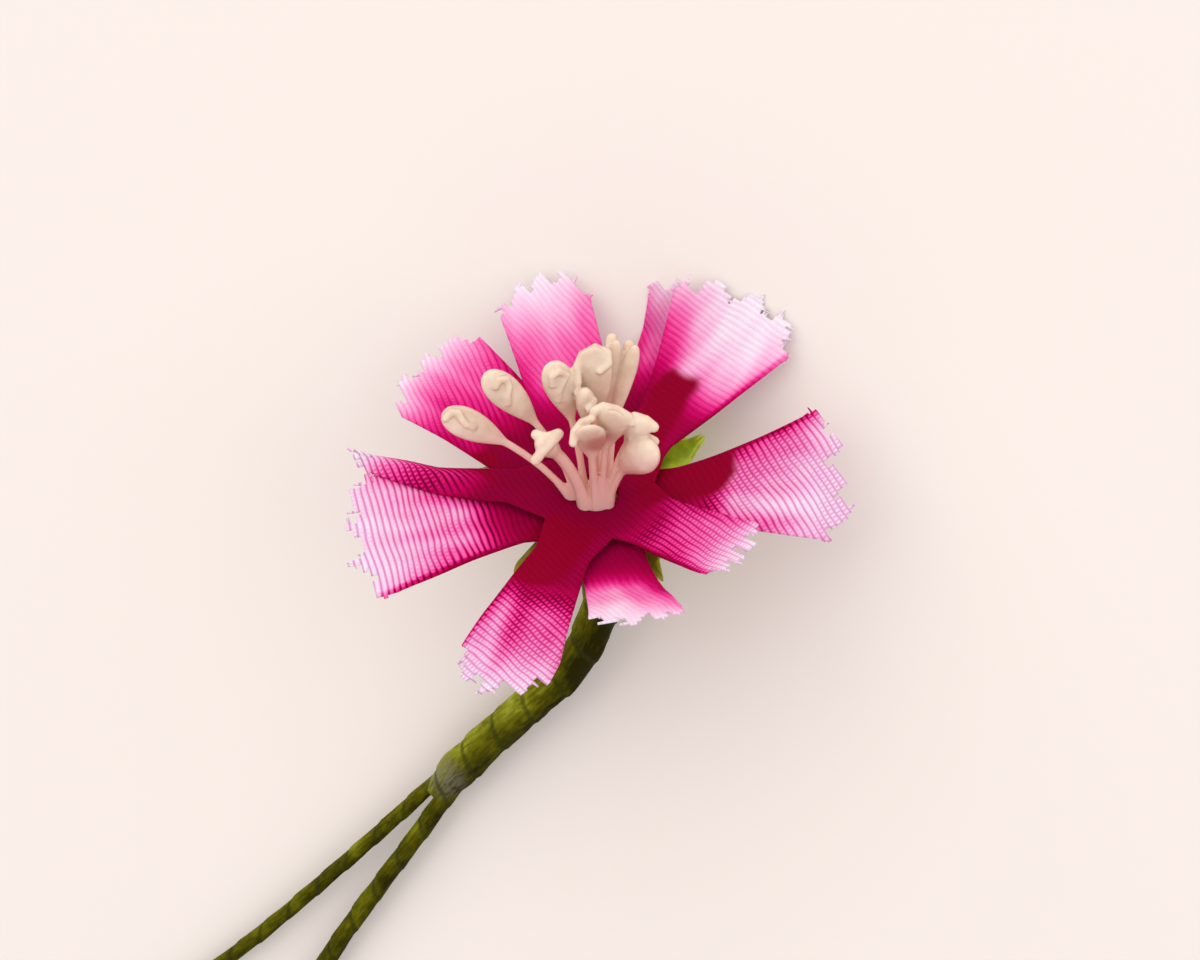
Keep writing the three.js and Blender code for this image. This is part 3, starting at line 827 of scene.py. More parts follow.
def pull_threads(bm, petals, turn, draw):
    """Extrudes some of the tips' edges into short single threads."""
    tips = []
    for edge in [e for e in bm.edges if e.is_boundary]:
        middle = (edge.verts[0].co + edge.verts[1].co) / 2
        this, s, w = on_petal(petals, *(turn @ middle.xy))
        share, half = outline(this, s, w)
        near_tip = s > tip_length(this, w / half) - TIP_ZONE
        if near_tip and share > TIPS_FROM and draw.random() < SHARE_PULLED:
            tips.append((edge, middle))
    for edge, middle in tips:
        outwards = middle - edge.link_faces[0].calc_center_median()
        made = bmesh.ops.extrude_edge_only(bm, edges=[edge])["geom"]
        ends = [g for g in made if isinstance(g, bmesh.types.BMVert)]
        reach = draw.uniform(*PULL_LENGTHS)
        lean = Vector((outwards.y, -outwards.x, 0)) * draw.uniform(-PULL_LEAN, PULL_LEAN)
        centre = sum((v.co for v in ends), Vector()) / len(ends)
        for vert in ends:
            vert.co = centre + (vert.co - centre) * PULL_WIDTH
            vert.co += (outwards.normalized() + lean) * reach
    return len(tips)


print("threads are up to", PULL_LENGTHS[1], "mm long")

# %% [markdown]
# ### From the flat cut to the head
# The flat cut's own coordinates go into the UV map, before the bend, with the sheet's 40 mm
# as one unit. The layers never sink into the table: a point that would is held just above
# it, as at the tip that the flower lies on. Four numbers are kept at each vertex: the dye,
# the painted shadow where a sepal lies behind, how clearly the ribs show, and how beaded they
# are.

# %% Laying a layer down as a cloth sheet
CLOTH_THICKNESS = 0.17
FLOOR_GAP = 0.1
RIPPLE = 0.22
RIPPLE_SCALE = 0.22
# behind holds the painted shadow of a sepal that lies under the cloth.
MARKS = ("dye", "behind", "clear", "beads")


def dress_layer(name, petals, rib_angle, lift, seed):
    bm, turn, draw = cut_layer(petals, rib_angle, lift, seed)
    largest_part(bm)
    seal_sides(bm, petals, turn, lift)
    pulled = pull_threads(bm, petals, turn, draw)
    area = sum(face.calc_area() for face in bm.faces)
    spans = [max(v.co[i] for v in bm.verts) - min(v.co[i] for v in bm.verts) for i in (0, 1)]
    cut_map = bm.loops.layers.uv.new("cut")
    for face in bm.faces:
        for loop in face.loops:
            loop[cut_map].uv = loop.vert.co.xy / SHEET_SPAN + Vector((0.5, 0.5))
    for key in MARKS:
        bm.verts.layers.float.new(key)
    layers = [bm.verts.layers.float[key] for key in MARKS]
    for vert in bm.verts:
        x, y = turn @ vert.co.xy
        this, s, w = on_petal(petals, x, y)
        marks = (dye_at(this, s, w), sepal_shadow_at(x, y), this.weave, this.beads)
        for layer, mark in zip(layers, marks):
            vert[layer] = mark
        ripple = RIPPLE * noise.noise(Vector((x * RIPPLE_SCALE, y * RIPPLE_SCALE, seed)))
        past = clamped(s / PETAL_HINGE - 1)
        vert.co = laid(bent(this, s, w, lift + ripple * past))
        vert.co.z = max(vert.co.z, FLOOR_GAP * MM)
    bmesh.ops.recalc_face_normals(bm, faces=bm.faces)
    piece = linked(name, mesh_from(name, bm))
    shell = piece.modifiers.new("thickness", "SOLIDIFY")
    shell.thickness = CLOTH_THICKNESS * MM
    shell.offset = 0
    print(name, "faces", len(piece.data.polygons), "threads", pulled, "area mm2", round(area, 1))
    return piece, [span * MM for span in spans], area * MM * MM


upper_cloth, upper_flat, upper_area = dress_layer("upper_petals", **UPPER_CUT)
lower_cloth, lower_flat, lower_area = dress_layer("lower_petals", **LOWER_CUT)
for cloth, node, slot, flat, area in (
    (upper_cloth, "petals_upper", "cloth_upper", upper_flat, upper_area),
    (lower_cloth, "petals_lower", "cloth_lower", lower_flat, lower_area),
):
    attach(cloth, "root")
    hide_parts(node)

# %% [markdown]
# ### The cloth's finish
# The colour runs from crimson through magenta and pink to a near white with a lilac cast.
# Between the ribs and threads more dye was caught, so the gaps take a place further along
# the same ramp, and they are also tinted darker as painted shade. Where a sepal lies behind,
# its shadow is painted: the colour goes to crimson and the ribs hardly show.

# %% Dyed ribbed cloth
DYE_COLOURS = [
    (0.0, (0.90, 0.77, 0.87)), (0.16, (0.92, 0.47, 0.69)), (0.34, (0.86, 0.16, 0.44)),
    (0.52, (0.76, 0.03, 0.26)), (0.7, (0.54, 0.002, 0.13)), (0.85, (0.37, 0.0, 0.062)),
    (1.0, (0.23, 0.0, 0.032)),
]
# The painted shadow's colour where a sepal lies behind the cloth.
SEPAL_SHADOW_COLOUR = (0.245, 0.0, 0.02)
# Painted shade in the gaps between the ribs and threads.
GAP_SHADE_TINT = (0.62, 0.5, 0.68)


def dyed_cloth(name, deeper):
    """Cloth whose second layer took a little more dye than the first."""
    material, tree, shader = new_material(
        name, Specular_IOR_Level=0.02, Subsurface_Weight=0.3, Subsurface_Scale=0.0007,
        Subsurface_Radius=(1.0, 0.35, 0.45),
    )
    uv = add(tree, "UVMap", uv_map="cut").outputs["UV"]
    cut = add(tree, "VectorMath",
              {0: uv, 1: (SHEET_SPAN,) * 3, 2: (-SHEET_SPAN / 2, -SHEET_SPAN / 2, 0)},
              operation="MULTIPLY_ADD")
    weave = add(tree, "Group", {"Cut": cut.outputs[0]}, node_tree=WOVEN_RIBS)
    dye, behind, clear, beads = (
        add(tree, "Attribute", attribute_name=key).outputs["Fac"] for key in MARKS)
    ribs, threads, relief = weave.outputs[:3]
    patchy = remap(cloud(cut.outputs[0], 0.3, 2.0), 0.4, 0.6, -0.45, 0.25)
    holes = times(minus(1.0, threads), times(plus(beads, patchy, clamp=True), 0.75))
    gap = larger(raised(minus(1.0, ribs), 2.6), holes)
    hidden = larger(behind, remap(dye, 0.6, 0.85))
    gap = times(times(gap, scaled(hidden, -0.8, 1.0)), clear)
    caught = times(gap, remap(dye, 0.0, 0.5, 0.08, 0.42))
    colour = ramp(plus(caught, plus(dye, deeper)), DYE_COLOURS)
    outside_ring = remap(dye, 0.995, 0.93)
    # Painted shadow of the sepals behind the cloth, kept off the painted shade ring round the
    # hole.
    colour = mixed(times(behind, outside_ring), colour, SEPAL_SHADOW_COLOUR)
    # Painted shade: the gaps between the ribs and threads are tinted darker.
    drive(shader, Base_Color=tinted(gap, colour, GAP_SHADE_TINT),
          Roughness=remap(ribs, 0.0, 1.0, 0.7, 0.42, eased=False))
    bump(shader, times(relief, scaled(hidden, -0.75, 1.0)), depth=0.09, strength=0.8)
    return material


upper_cloth.data.materials.append(dyed_cloth("upper dyed cloth", 0.0))
lower_cloth.data.materials.append(dyed_cloth("lower dyed cloth", 0.04))
print("cloth finished")

# %% [markdown]
# ## Stamens
# On the real flower each stamen is a stiff thread whose end was bent over and dipped in
# cream wax, so it swells into a soft pad with the bent end as a ridge on it. A thread with
# its pad is a grid that is rolled into a tube, and the bent ends are chains of small balls.
# A voxel remesh then melts everything into one skin, as the dipping does.

# %% Rolling a grid into a tube
def rolled(bm, rings, sides, place):
    """Adds a closed tube to a bmesh: place(along, round) gives a point from two shares."""
    part = bmesh.new()
    bmesh.ops.create_grid(part, x_segments=rings, y_segments=sides, size=0.5)
    span = 2 * max(v.co.x for v in part.verts)
    around = part.loops.layers.uv.new("round")
    for face in part.faces:
        for loop in face.loops:
            loop[around].uv = (loop.vert.co.x / span + 0.5, loop.vert.co.y / span + 0.5)
    for vert in part.verts:
        vert.co = place(vert.co.x / span + 0.5, vert.co.y / span + 0.5)
    bmesh.ops.remove_doubles(part, verts=part.verts, dist=1e-7)
    bmesh.ops.holes_fill(part, edges=part.edges, sides=0)
    bmesh.ops.recalc_face_normals(part, faces=part.faces)
    join(bm, part)


def finished(name, bm, node, material):
    """Makes a bmesh a piece of the scene that stands for a solid."""
    piece = linked(name, mesh_from(name, bm))
    piece.data.materials.append(material)
    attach(piece, "root")
    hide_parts(node)
    print(name, "faces:", len(piece.data.polygons))
    return piece


def camera_side(right, up, towards):
    """An offset along the camera's axes, in the head's own axes."""
    return VIEW_RIGHT * right + VIEW_UP * up + VIEW_TOWARDS * towards

# %% Twelve dipped stamens, as numbers
def dipped(head, length, width, thick, bent_end, radius, thread=0.27, on_face=False):
    """A pad's middle and size, and its bent end: a radius and offsets in the camera's axes."""
    return SimpleNamespace(head=Vector(head), length=length, width=width, thick=thick,
                           bent_end=bent_end, radius=radius, thread=thread, on_face=on_face)


STAMENS = [
    dipped((-9.0, -1.1, 9.45), 4.0, 2.3, 1.5,
           [(-1.35, 0.3, 0.3), (-0.95, 0.75, 0.45), (-0.4, 0.7, 0.65), (-0.2, 0.25, 0.8),
            (0.1, -0.1, 0.75), (0.6, -0.3, 0.55)], 0.3, on_face=True),
    dipped((-6.1, -0.6, 11.8), 4.3, 2.4, 1.5,
           [(-0.5, 0.2, 0.65), (-0.25, 0.7, 0.65), (0.3, 0.75, 0.65), (0.45, 0.2, 0.75),
            (0.3, -0.4, 0.7), (0.35, -0.9, 0.5)], 0.29, on_face=True),
    dipped((-2.1, -1.0, 12.5), 4.2, 2.4, 1.5,
           [(-0.45, -0.2, 0.65), (-0.5, 0.4, 0.65), (0.05, 0.75, 0.65), (0.55, 0.5, 0.65),
            (0.3, 0.0, 0.75), (0.05, -0.6, 0.7), (0.0, -1.2, 0.45)], 0.28, on_face=True),
    dipped((-0.3, -1.7, 11.1), 3.0, 1.5, 1.4,
           [(-0.55, 0.7, 0.5), (0.0, 0.35, 0.7), (0.5, 0.1, 0.6), (0.3, -0.5, 0.7)], 0.36),
    dipped((0.4, -0.4, 12.7), 4.8, 2.7, 1.0,
           [(-1.15, -0.7, 0.5), (-1.2, 0.3, 0.7), (-0.8, 1.2, 0.8), (0.1, 1.7, 0.85),
            (0.95, 1.35, 0.8), (1.0, 0.6, 0.75), (0.45, 0.15, 0.65)], 0.36),
    dipped((1.7, 0.8, 12.0), 5.0, 1.3, 1.1,
           [(-0.1, 1.5, 0.15), (0.0, 2.15, 0.2)], 0.42),
    dipped((2.75, 0.4, 11.8), 5.2, 1.3, 1.1,
           [(0.05, 1.4, 0.1), (0.15, 2.0, 0.15)], 0.42),
    dipped((-0.15, -4.3, 10.1), 4.2, 2.4, 0.8,
           [(-1.2, -0.5, 0.3), (-1.1, 0.3, 0.5), (-0.6, 0.95, 0.65), (0.1, 1.2, 0.7)], 0.33),
    dipped((1.45, -3.9, 10.8), 4.0, 2.2, 0.8,
           [(-1.25, 0.85, 0.6), (-0.6, 1.15, 0.85), (0.3, 0.95, 0.95), (1.1, 0.45, 0.8),
            (1.35, 0.1, 0.6)], 0.38),
    dipped((3.3, -3.95, 10.2), 3.0, 1.7, 1.2,
           [(-0.85, 0.45, 0.35), (-0.3, 0.8, 0.55), (0.5, 0.55, 0.65), (1.05, 0.1, 0.5)], 0.42),
    dipped((3.4, -4.45, 8.25), 4.2, 2.9, 1.9,
           [(-0.6, 1.1, 0.3), (0.2, 1.25, 0.4), (0.9, 0.9, 0.3)], 0.38),
    dipped((-3.3, -3.55, 8.9), 2.6, 1.6, 1.3,
           [(-0.7, 0.75, 0.35), (0.0, 0.5, 0.55), (0.85, 0.8, 0.4), (0.45, 0.3, 0.6),
            (-0.2, -0.35, 0.6), (-0.75, -1.05, 0.3)], 0.42, thread=0.45),
]
print("stamens:", len(STAMENS))

# %% One thread with its pad and bent end
STAMEN_ROOT = 1.0
STAMEN_FOOT = -1.4
STAMEN_GRID = (44, 16)
BOW = (0.3, 0.3, 0.5)
AHEAD = 0.01
FILAMENT = 0.8
FOOT_SWELL = 0.3
FOOT_SWELL_END = 2.6
CAP_LEAST = 0.02
PAD_TAPER = 2.3
PAD_POWER = 1.35
FACE_RAISE = 0.2
BALLS_A_LINK = 4


def curve_point(root, bow, top, share):
    """A point of the thread's curve, which leaves the root and bends towards the pad."""
    return root * (1 - share)**2 + bow * 2 * share * (1 - share) + top * share**2


def bow_point(this):
    """The point that a thread bends towards between its root and its pad."""
    return Vector([part * share for part, share in zip(this.head, BOW)])


def dip_stamen(bm, this):
    """Adds one thread and its pad, as a tube whose girth swells."""
    top = this.head
    root = Vector((top.x, top.y, 0)).normalized() * STAMEN_ROOT + Vector((0, 0, STAMEN_FOOT))
    bow = bow_point(this)
    tangent = (top - bow).normalized()
    half = this.length / 2

    def place(along, around):
        share = along / FILAMENT
        if share <= 1:
            centre = curve_point(root, bow, top, share)
            ahead = (curve_point(root, bow, top, share + AHEAD) - centre).normalized()
        else:
            centre = top + tangent * half * (share - 1) / (1 / FILAMENT - 1)
            ahead = tangent
        past = (centre - top).dot(tangent) / half
        if past < 0:
            swell = max(0.0, cos(pi / 2 * min(1, -past / PAD_TAPER)))**PAD_POWER
        else:
            swell = max(0.0, 1 - past * past)**0.5
        thread = this.thread + FOOT_SWELL * max(0, 1 - share * FOOT_SWELL_END)
        if share >= 1:
            thread = CAP_LEAST
        wide = max(thread, this.width / 2 * swell)
        deep = max(thread, this.thick / 2 * swell)
        side = VIEW_TOWARDS.cross(ahead).normalized()
        front = ahead.cross(side)
        turn = tau * around
        return laid(centre + side * wide * cos(turn) + front * deep * sin(turn))

    rolled(bm, *STAMEN_GRID, place)


def bent_end_points(this):
    """The bent end's points. On a long pad they keep their distance from its face."""
    tangent = (this.head - bow_point(this)).normalized()
    right, up, towards = (tangent.dot(axis) for axis in (VIEW_RIGHT, VIEW_UP, VIEW_TOWARDS))
    points = []
    for across, high, out in this.bent_end:
        if this.on_face:
            along = (across * right + high * up) / (right * right + up * up)
            out += along * towards + FACE_RAISE
        points.append(this.head + camera_side(across, high, out))
    return points


def add_ball(bm, point, radius):
    """A ball of wax, at a point of the head."""
    bmesh.ops.create_icosphere(bm, subdivisions=2, radius=radius * MM,
                               matrix=Matrix.Translation(laid(point)))


def add_bent_end(bm, this):
    """A chain of balls along the bent end, close enough to melt together."""
    chain = bent_end_points(this)
    for first, second in zip(chain, chain[1:]):
        for i in range(BALLS_A_LINK):
            add_ball(bm, first.lerp(second, i / (BALLS_A_LINK - 1)), this.radius)


print("points in the first bent end:", len(bent_end_points(STAMENS[0])))

# %% [markdown]
# ### The wax
# Cream wax lets light in, so it has some subsurface scattering. It is pinker and thinner on
# the threads, where less wax stayed. The pink also runs up onto the lower pads, and a pink
# patch lies on the front pads: both are painted shade and painted bounce light from the
# petals. It is painted darker where its surface turns away from the view. Its skin is smooth
# with slight unevenness.

# %% Cream wax
def along_axis(tree, low, high, axis=(0, 0, 1)):
    """0 to 1 along one of the head's own axes, between two distances in mm."""
    axis = HEAD_TURN @ Vector(axis)
    height = add(tree, "VectorMath", {0: own_place(tree), 1: axis}, operation="DOT_PRODUCT")
    base = laid((0, 0, 0)).dot(axis)
    return remap(height.outputs["Value"], base + low * MM, base + high * MM)


def near_point(tree, point, far, near):
    """0 to 1 as the distance from a point of the scene goes from far to near, in mm."""
    gap = add(tree, "VectorMath", {0: own_place(tree), 1: point}, operation="DISTANCE")
    return remap(gap.outputs["Value"], far * MM, near * MM)


# The middle of the painted pink shade on the front pads.
FRONT_PADS = laid((0.65, -4.6, 8.9))
PAD_HEIGHTS = (4.5, 10.5)
CREAM_COLOURS = [
    (0.3, (0.66, 0.505, 0.385)), (0.5, (0.74, 0.585, 0.455)), (0.72, (0.82, 0.675, 0.545)),
]
THREAD_COLOUR = (0.88, 0.58, 0.51)
FRONT_PAD_SHADE_COLOUR = (0.60, 0.30, 0.235)
RIM_SHADE_TINT = (0.66, 0.46, 0.36)


def cream_wax():
    """Cream on the pads and pink on the threads, with painted pink shade on the lower and front
    pads and painted shade at the rims.
    """
    material, tree, shader = new_material(
        "cream wax", Specular_IOR_Level=0.5, Subsurface_Weight=0.35, Subsurface_Scale=0.0009,
        Subsurface_Radius=(1.0, 0.6, 0.4), Coat_Weight=0.25, Coat_Roughness=0.25,
    )
    patches, relief = skin_on(tree, 700.0, 3000.0, 0.25)
    cream = ramp(patches, CREAM_COLOURS)
    # Partly the threads' own pink and partly painted shade and bounce light from the petals: the
    # pink runs up onto the lower pads.
    colour = mixed(along_axis(tree, *PAD_HEIGHTS), THREAD_COLOUR, cream)
    # Painted shade and bounce light: a pink patch under the front pads' rims.
    colour = mixed(near_point(tree, FRONT_PADS, 1.9, 0.9), colour, FRONT_PAD_SHADE_COLOUR)
    # Painted shade: the wax is darker where its surface turns away from the view.
    turned_away = add(tree, "LayerWeight", {"Blend": 0.5}).outputs["Facing"]
    rim = remap(turned_away, 0.35, 1.0, 0.0, 0.75)
    drive(shader, Base_Color=tinted(rim, colour, RIM_SHADE_TINT),
          Roughness=remap(patches, 0.3, 0.7, 0.3, 0.5))
    bump(shader, relief, depth=0.06, strength=0.5)
    return material


CREAM_WAX = cream_wax()
print("finish:", CREAM_WAX.name)

# %% Melting the stamens into one piece
FOOT_HEIGHTS = (-1.3, -0.8, -0.3, 0.2, 0.7, 1.2)
FOOT_RADIUS = 1.62
FOOT_TAPER = 0.38
VOXEL = 0.1

bm = bmesh.new()
for each in STAMENS:
    dip_stamen(bm, each)
    add_bent_end(bm, each)
for height in FOOT_HEIGHTS:
    add_ball(bm, (0, 0, height), FOOT_RADIUS - FOOT_TAPER * max(0, height))
stamens = finished("stamens_dipped", bm, "stamens", CREAM_WAX)
melt = stamens.modifiers.new("melt", "REMESH")
melt.mode = "VOXEL"
melt.voxel_size = VOXEL * MM
melt.use_smooth_shade = True
settle = stamens.modifiers.new("settle", "SMOOTH")
settle.factor = 0.6
settle.iterations = 3
print("stamens melt at", VOXEL, "mm")

# %% [markdown]
# ## Calyx
# The calyx is moulded in soft green plastic: a cup whose rim leans as the petals do, and
# six sepals that lie flat under the cloth and only show where the petals part. The cup is
# a profile that is spun, and each sepal is a grid that is bent by the petals' own rule and
# given a wall.

# %% The cup, spun
CUP_PROFILE = [(0, -8.0), (1.1, -8.0), (1.1, -6.7), (1.5, -6.6), (1.85, -5.6), (2.15, -4.2),
               (2.3, -2.6), (2.62, -1.5), (2.55, -0.95), (2.2, -0.8), (1.4, -0.9), (0, -1.2)]
CUP_SIDES = 40
LEAN_FROM = -4
LEAN_OVER = 2.6


def spun_cup(bm):
    """Spins the profile, and leans the upper part as the hub's cone does."""
    start = [bm.verts.new((radius, 0, height)) for radius, height in CUP_PROFILE]
    edges = [bm.edges.new(pair) for pair in zip(start, start[1:])]
    bmesh.ops.spin(bm, geom=start + edges, cent=(0, 0, 0), axis=(0, 0, 1),
                   angle=tau, steps=CUP_SIDES, use_merge=True)
    bmesh.ops.remove_doubles(bm, verts=bm.verts, dist=1e-4)
    bmesh.ops.recalc_face_normals(bm, faces=bm.faces)
    for vert in bm.verts:
        radius, azimuth = polar(*vert.co.xy)
        share = clamped((vert.co.z - LEAN_FROM) / LEAN_OVER)
        vert.co.z += radius * sin(cone_rise(azimuth)) * share
        vert.co = laid(vert.co)


print("points in the cup's profile:", len(CUP_PROFILE))

# %% The sepals, each with its wall
SEPAL_GRID = (36, 12)
SEPAL_LIFT = -0.95
SEPAL_WALL = 0.42
SEPAL_ROOT = 1.4
SEPAL_HINGE = 3.0
SEPAL_KEEL = 0.12
TEAR_DEPTH = 0.5
TEAR_POINTS = 5
TEAR_TURN = 3
TEAR_ROUND = 0.6


def jagged(sepal, v):
    """The sepals' tips were torn from the mould and end in two or three points."""
    return TEAR_DEPTH * cos(TEAR_POINTS * v + sepal.azimuth * TEAR_TURN) - TEAR_ROUND * v * v


def bend_sepal(bm, sepal):
    """Adds one sepal: a bent grid with a wall under it."""
    part = bmesh.new()
    columns, rows = SEPAL_GRID
    bmesh.ops.create_grid(part, x_segments=columns, y_segments=rows, size=1)
    half = max(vert.co.x for vert in part.verts)
    for vert in part.verts:
        share, v = (vert.co.x / half + 1) / 2, vert.co.y / half
        s = SEPAL_ROOT + (sepal.length + jagged(sepal, v) * share - SEPAL_ROOT) * share
        w = sepal_half(sepal, share) * v
        lift = SEPAL_LIFT + SEPAL_KEEL * (1 - v * v) * (1 - share)
        vert.co = laid(bent(sepal, s, w, lift, hinge=SEPAL_HINGE))
    bmesh.ops.recalc_face_normals(part, faces=part.faces)
    made = bmesh.ops.extrude_face_region(part, geom=part.faces, use_keep_orig=True)["geom"]
    axis = HEAD_TURN @ Vector((0, 0, 1))
    for vert in [g for g in made if isinstance(g, bmesh.types.BMVert)]:
        vert.co -= axis * SEPAL_WALL * MM
    bmesh.ops.recalc_face_normals(part, faces=part.faces)
    join(bm, part)


print("sepals to bend:", len(SEPALS))

# %% Soft green plastic
GREEN_COLOURS = [
    (0.3, (0.20, 0.29, 0.012)), (0.5, (0.47, 0.61, 0.02)), (0.72, (0.70, 0.80, 0.06)),
]
FRONT_SHADE_TINT = (0.42, 0.34, 0.28)


def green_plastic():
    """Lime green with darker patches, and painted shade on the front of the head."""
    material, tree, shader = new_material(
        "soft green plastic", Roughness=0.45, Specular_IOR_Level=0.4, Subsurface_Weight=0.35,
        Subsurface_Scale=0.0008, Subsurface_Radius=(0.7, 1.0, 0.2),
    )
    patches, relief = skin_on(tree, 500.0, 2600.0, 0.4)
    colour = ramp(patches, GREEN_COLOURS)
    # Painted shade: darker and duller towards the front of the head.
    front = along_axis(tree, -1.5, -5.0, (0, 1, 0))
    drive(shader, Base_Color=tinted(front, colour, FRONT_SHADE_TINT))
    bump(shader, relief, depth=0.06, strength=0.6)
    return material


GREEN_PLASTIC = green_plastic()
print("finish:", GREEN_PLASTIC.name)

# %% The calyx in one piece
def in_order(bm):
    """Sorts the faces by their corners, because an extrusion adds them in no fixed order."""
    bm.verts.index_update()
    count = len(bm.verts)

    def rank(face):
        first, second, third = sorted(vert.index for vert in face.verts)[:3]
        return (first * count + second) * count + third

    bm.faces.sort(key=rank)


bm = bmesh.new()
spun_cup(bm)
for sepal in SEPALS:
    sepal.before = sepal.after = 0.5
    bend_sepal(bm, sepal)
in_order(bm)
finished("calyx_moulded", bm, "calyx", GREEN_PLASTIC)

# %% [markdown]
# ## Stem and legs
# Two steel wires run down from the calyx. Crepe tape is wound round both, each turn over
# the edge of the last, and from the fork each leg has a winding of its own. A winding is a
# rolled grid whose radius climbs a little with each turn and drops at the lap. It is a bit
# lumpy, as hand-wound tape is.

# %% Routes of the stem and its legs
ROUTE_STEP = 0.25
CURVE_STEPS = 24


def on_axis(height):
    """A point of the head's axis, measured from below the head's centre."""
    return HEAD_TURN @ Vector((0, 0, height)) + Vector((0, 0, HEAD_CENTRE.z))


STEM_ROUTE = [(-10.3, -6.4, 2.95), (-13.8, -6.8, 2.6), (-17.4, -6.55, 2.4),
              (-20.8, -6.35, 2.25), (-24.2, -6.25, 2.15), (-28.3, -6.25, 2.05)]
SLIM_LEG = [(-20.8, -5.95, 2.2), (-25.5, -5.8, 2.1), (-28.6, -5.55, 2.0), (-32.5, -5.35, 1.9),
            (-38.7, -4.96, 1.6), (-47, -4.3, 1.3), (-52.3, -3.65, 1.1), (-62, -2.5, 0.85),
            (-72, -1.5, 0.74), (-84, -0.7, 0.67)]
STOUT_LEG = [(-20.8, -6.75, 2.2), (-25.5, -6.8, 2.1), (-28.6, -7.1, 2.0), (-31.5, -7.5, 1.9),
             (-36, -8.05, 1.7), (-41, -8.7, 1.5), (-45.2, -9.4, 1.35), (-52, -10.9, 1.1),
             (-62, -13.6, 0.93), (-76, -17.8, 0.8)]


def smooth_route(points):
    """Evenly spaced points on a smooth line through the route's points."""
    points = [Vector(p) for p in points]
    points = [points[0] * 2 - points[1], *points, points[-1] * 2 - points[-2]]
    fine = []
    for a, b, c, d in zip(points, points[1:], points[2:], points[3:]):
        for i in range(CURVE_STEPS):
            t = i / CURVE_STEPS
            fine.append(0.5 * (2 * b + (c - a) * t + (2 * a - 5 * b + 4 * c - d) * t**2
                               + (3 * b - a - 3 * c + d) * t**3))
    fine.append(points[-2])
    even, left = [fine[0]], ROUTE_STEP
    for a, b in zip(fine, fine[1:]):
        length = (b - a).length
        while left <= length:
            even.append(a.lerp(b, left / length))
            left += ROUTE_STEP
        left -= length
    return even


def route_length(line):
    """A route's length in mm."""
    return ROUTE_STEP * (len(line) - 1)


STEM_LINE = smooth_route([on_axis(-6.8), on_axis(-9.3), *STEM_ROUTE])
print("stem length:", round(route_length(STEM_LINE), 1), "mm")

# %% [markdown]
# ### The steel inside
# The ends of the two wires can be seen at the ends of the legs, so they get the dull shine
# of drawn steel.

# %% Drawn steel on the wires
def drawn_steel():
    """Dull grey steel with faint streaks of tone."""
    material, tree, shader = new_material("drawn steel", Roughness=0.35, Metallic=1.0)
    patches, relief = skin_on(tree, 900.0, 5200.0, 0.4)
    greys = [(0.3, (0.36, 0.36, 0.35)), (0.7, (0.60, 0.60, 0.58))]
    drive(shader, Base_Color=ramp(patches, greys))
    bump(shader, relief, depth=0.02, strength=0.5)
    return material


steel = drawn_steel()
for name in ("wire_slim", "wire_stout"):
    for each in bpy.data.objects[name].material_slots:
        each.material = steel
    print(name, "is finished with", steel.name)

# %% Winding tape on a route
TAPE_PITCH = 3.4
LAP_FROM = 0.93
LAP_MIDDLE = 0.6
LUMP_SIZE = 0.07
LUMP_SCALE = 0.35
DENT_SIZE = 0.035
DENT_SCALE = 1.3
LOWEST = 0.04


def wound(line, radius_at, step, seed, sides=40, flatten=None):
    """A winding along a line of points, as a bmesh with its own turns in the UV map."""
    bm = bmesh.new()
    last = len(line) - 1
    frames = []
    normal = Vector((0, 0, 1))
    for i, centre in enumerate(line):
        ahead = (line[min(last, i + 1)] - line[max(0, i - 1)]).normalized()
        normal = (normal - ahead * normal.dot(ahead)).normalized()
        frames.append((centre, normal.copy(), ahead.cross(normal)))

    def place(along, around):
        i = min(last, round(along * last))
        centre, up, side = frames[i]
        reached = ROUTE_STEP * i
        lap = (reached / TAPE_PITCH + around) % 1
        if lap >= LAP_FROM:
            lap = (1 - lap) * LAP_FROM / (1 - LAP_FROM)
        cosine, sine = cos(tau * around), sin(tau * around)
        lumps = noise.noise(Vector((reached * LUMP_SCALE, cosine, sine + seed)))
        dents = noise.noise(Vector((reached * DENT_SCALE, 2 * cosine, 2 * sine - seed)))
        radius = radius_at(along) * (1 + LUMP_SIZE * lumps + DENT_SIZE * dents)
        radius += step * (lap - LAP_MIDDLE)
        wide, deep = flatten(along) if flatten else (1, 1)
        point = centre + up * radius * cosine * deep + side * radius * sine * wide
        point += Vector((HEAD_CENTRE.x, HEAD_CENTRE.y, 0))
        point.z = max(point.z, LOWEST)
        return point * MM

    rolled(bm, last, sides, place)
    return bm


print("the tape climbs", TAPE_PITCH, "mm in a turn")

# %% [markdown]
# ### Crepe tape
# The tape is waxed crepe paper, olive green, with wrinkles across its length, darker and
# greasier where it was pressed, and a painted line of shadow at each lap. One side is painted
# lighter, a yellow green, and the other darker, as painted light and shade, and the stem is
# painted darker just under the head as shade. At the fork the wax has turned grey where the
# tape ends. The pattern follows the winding through the UV map, whose first number runs
# along and second round.

# %% Waxed crepe tape
TAPE_END = Vector((HEAD_CENTRE.x - 26.3, HEAD_CENTRE.y - 5.8, 3.2)) * MM
TAPE_COLOURS = [
    (0.2, (0.018, 0.016, 0.0)), (0.4, (0.068, 0.063, 0.001)), (0.56, (0.13, 0.13, 0.004)),
    (0.75, (0.28, 0.31, 0.022)), (0.95, (0.46, 0.50, 0.12)),
]
WAX_GREY = (0.17, 0.15, 0.125)
LAP_SHADOW_COLOUR = (0.025, 0.03, 0.004)
WRINKLES_ALONG = 0.9
WRINKLES_ROUND = 3.6


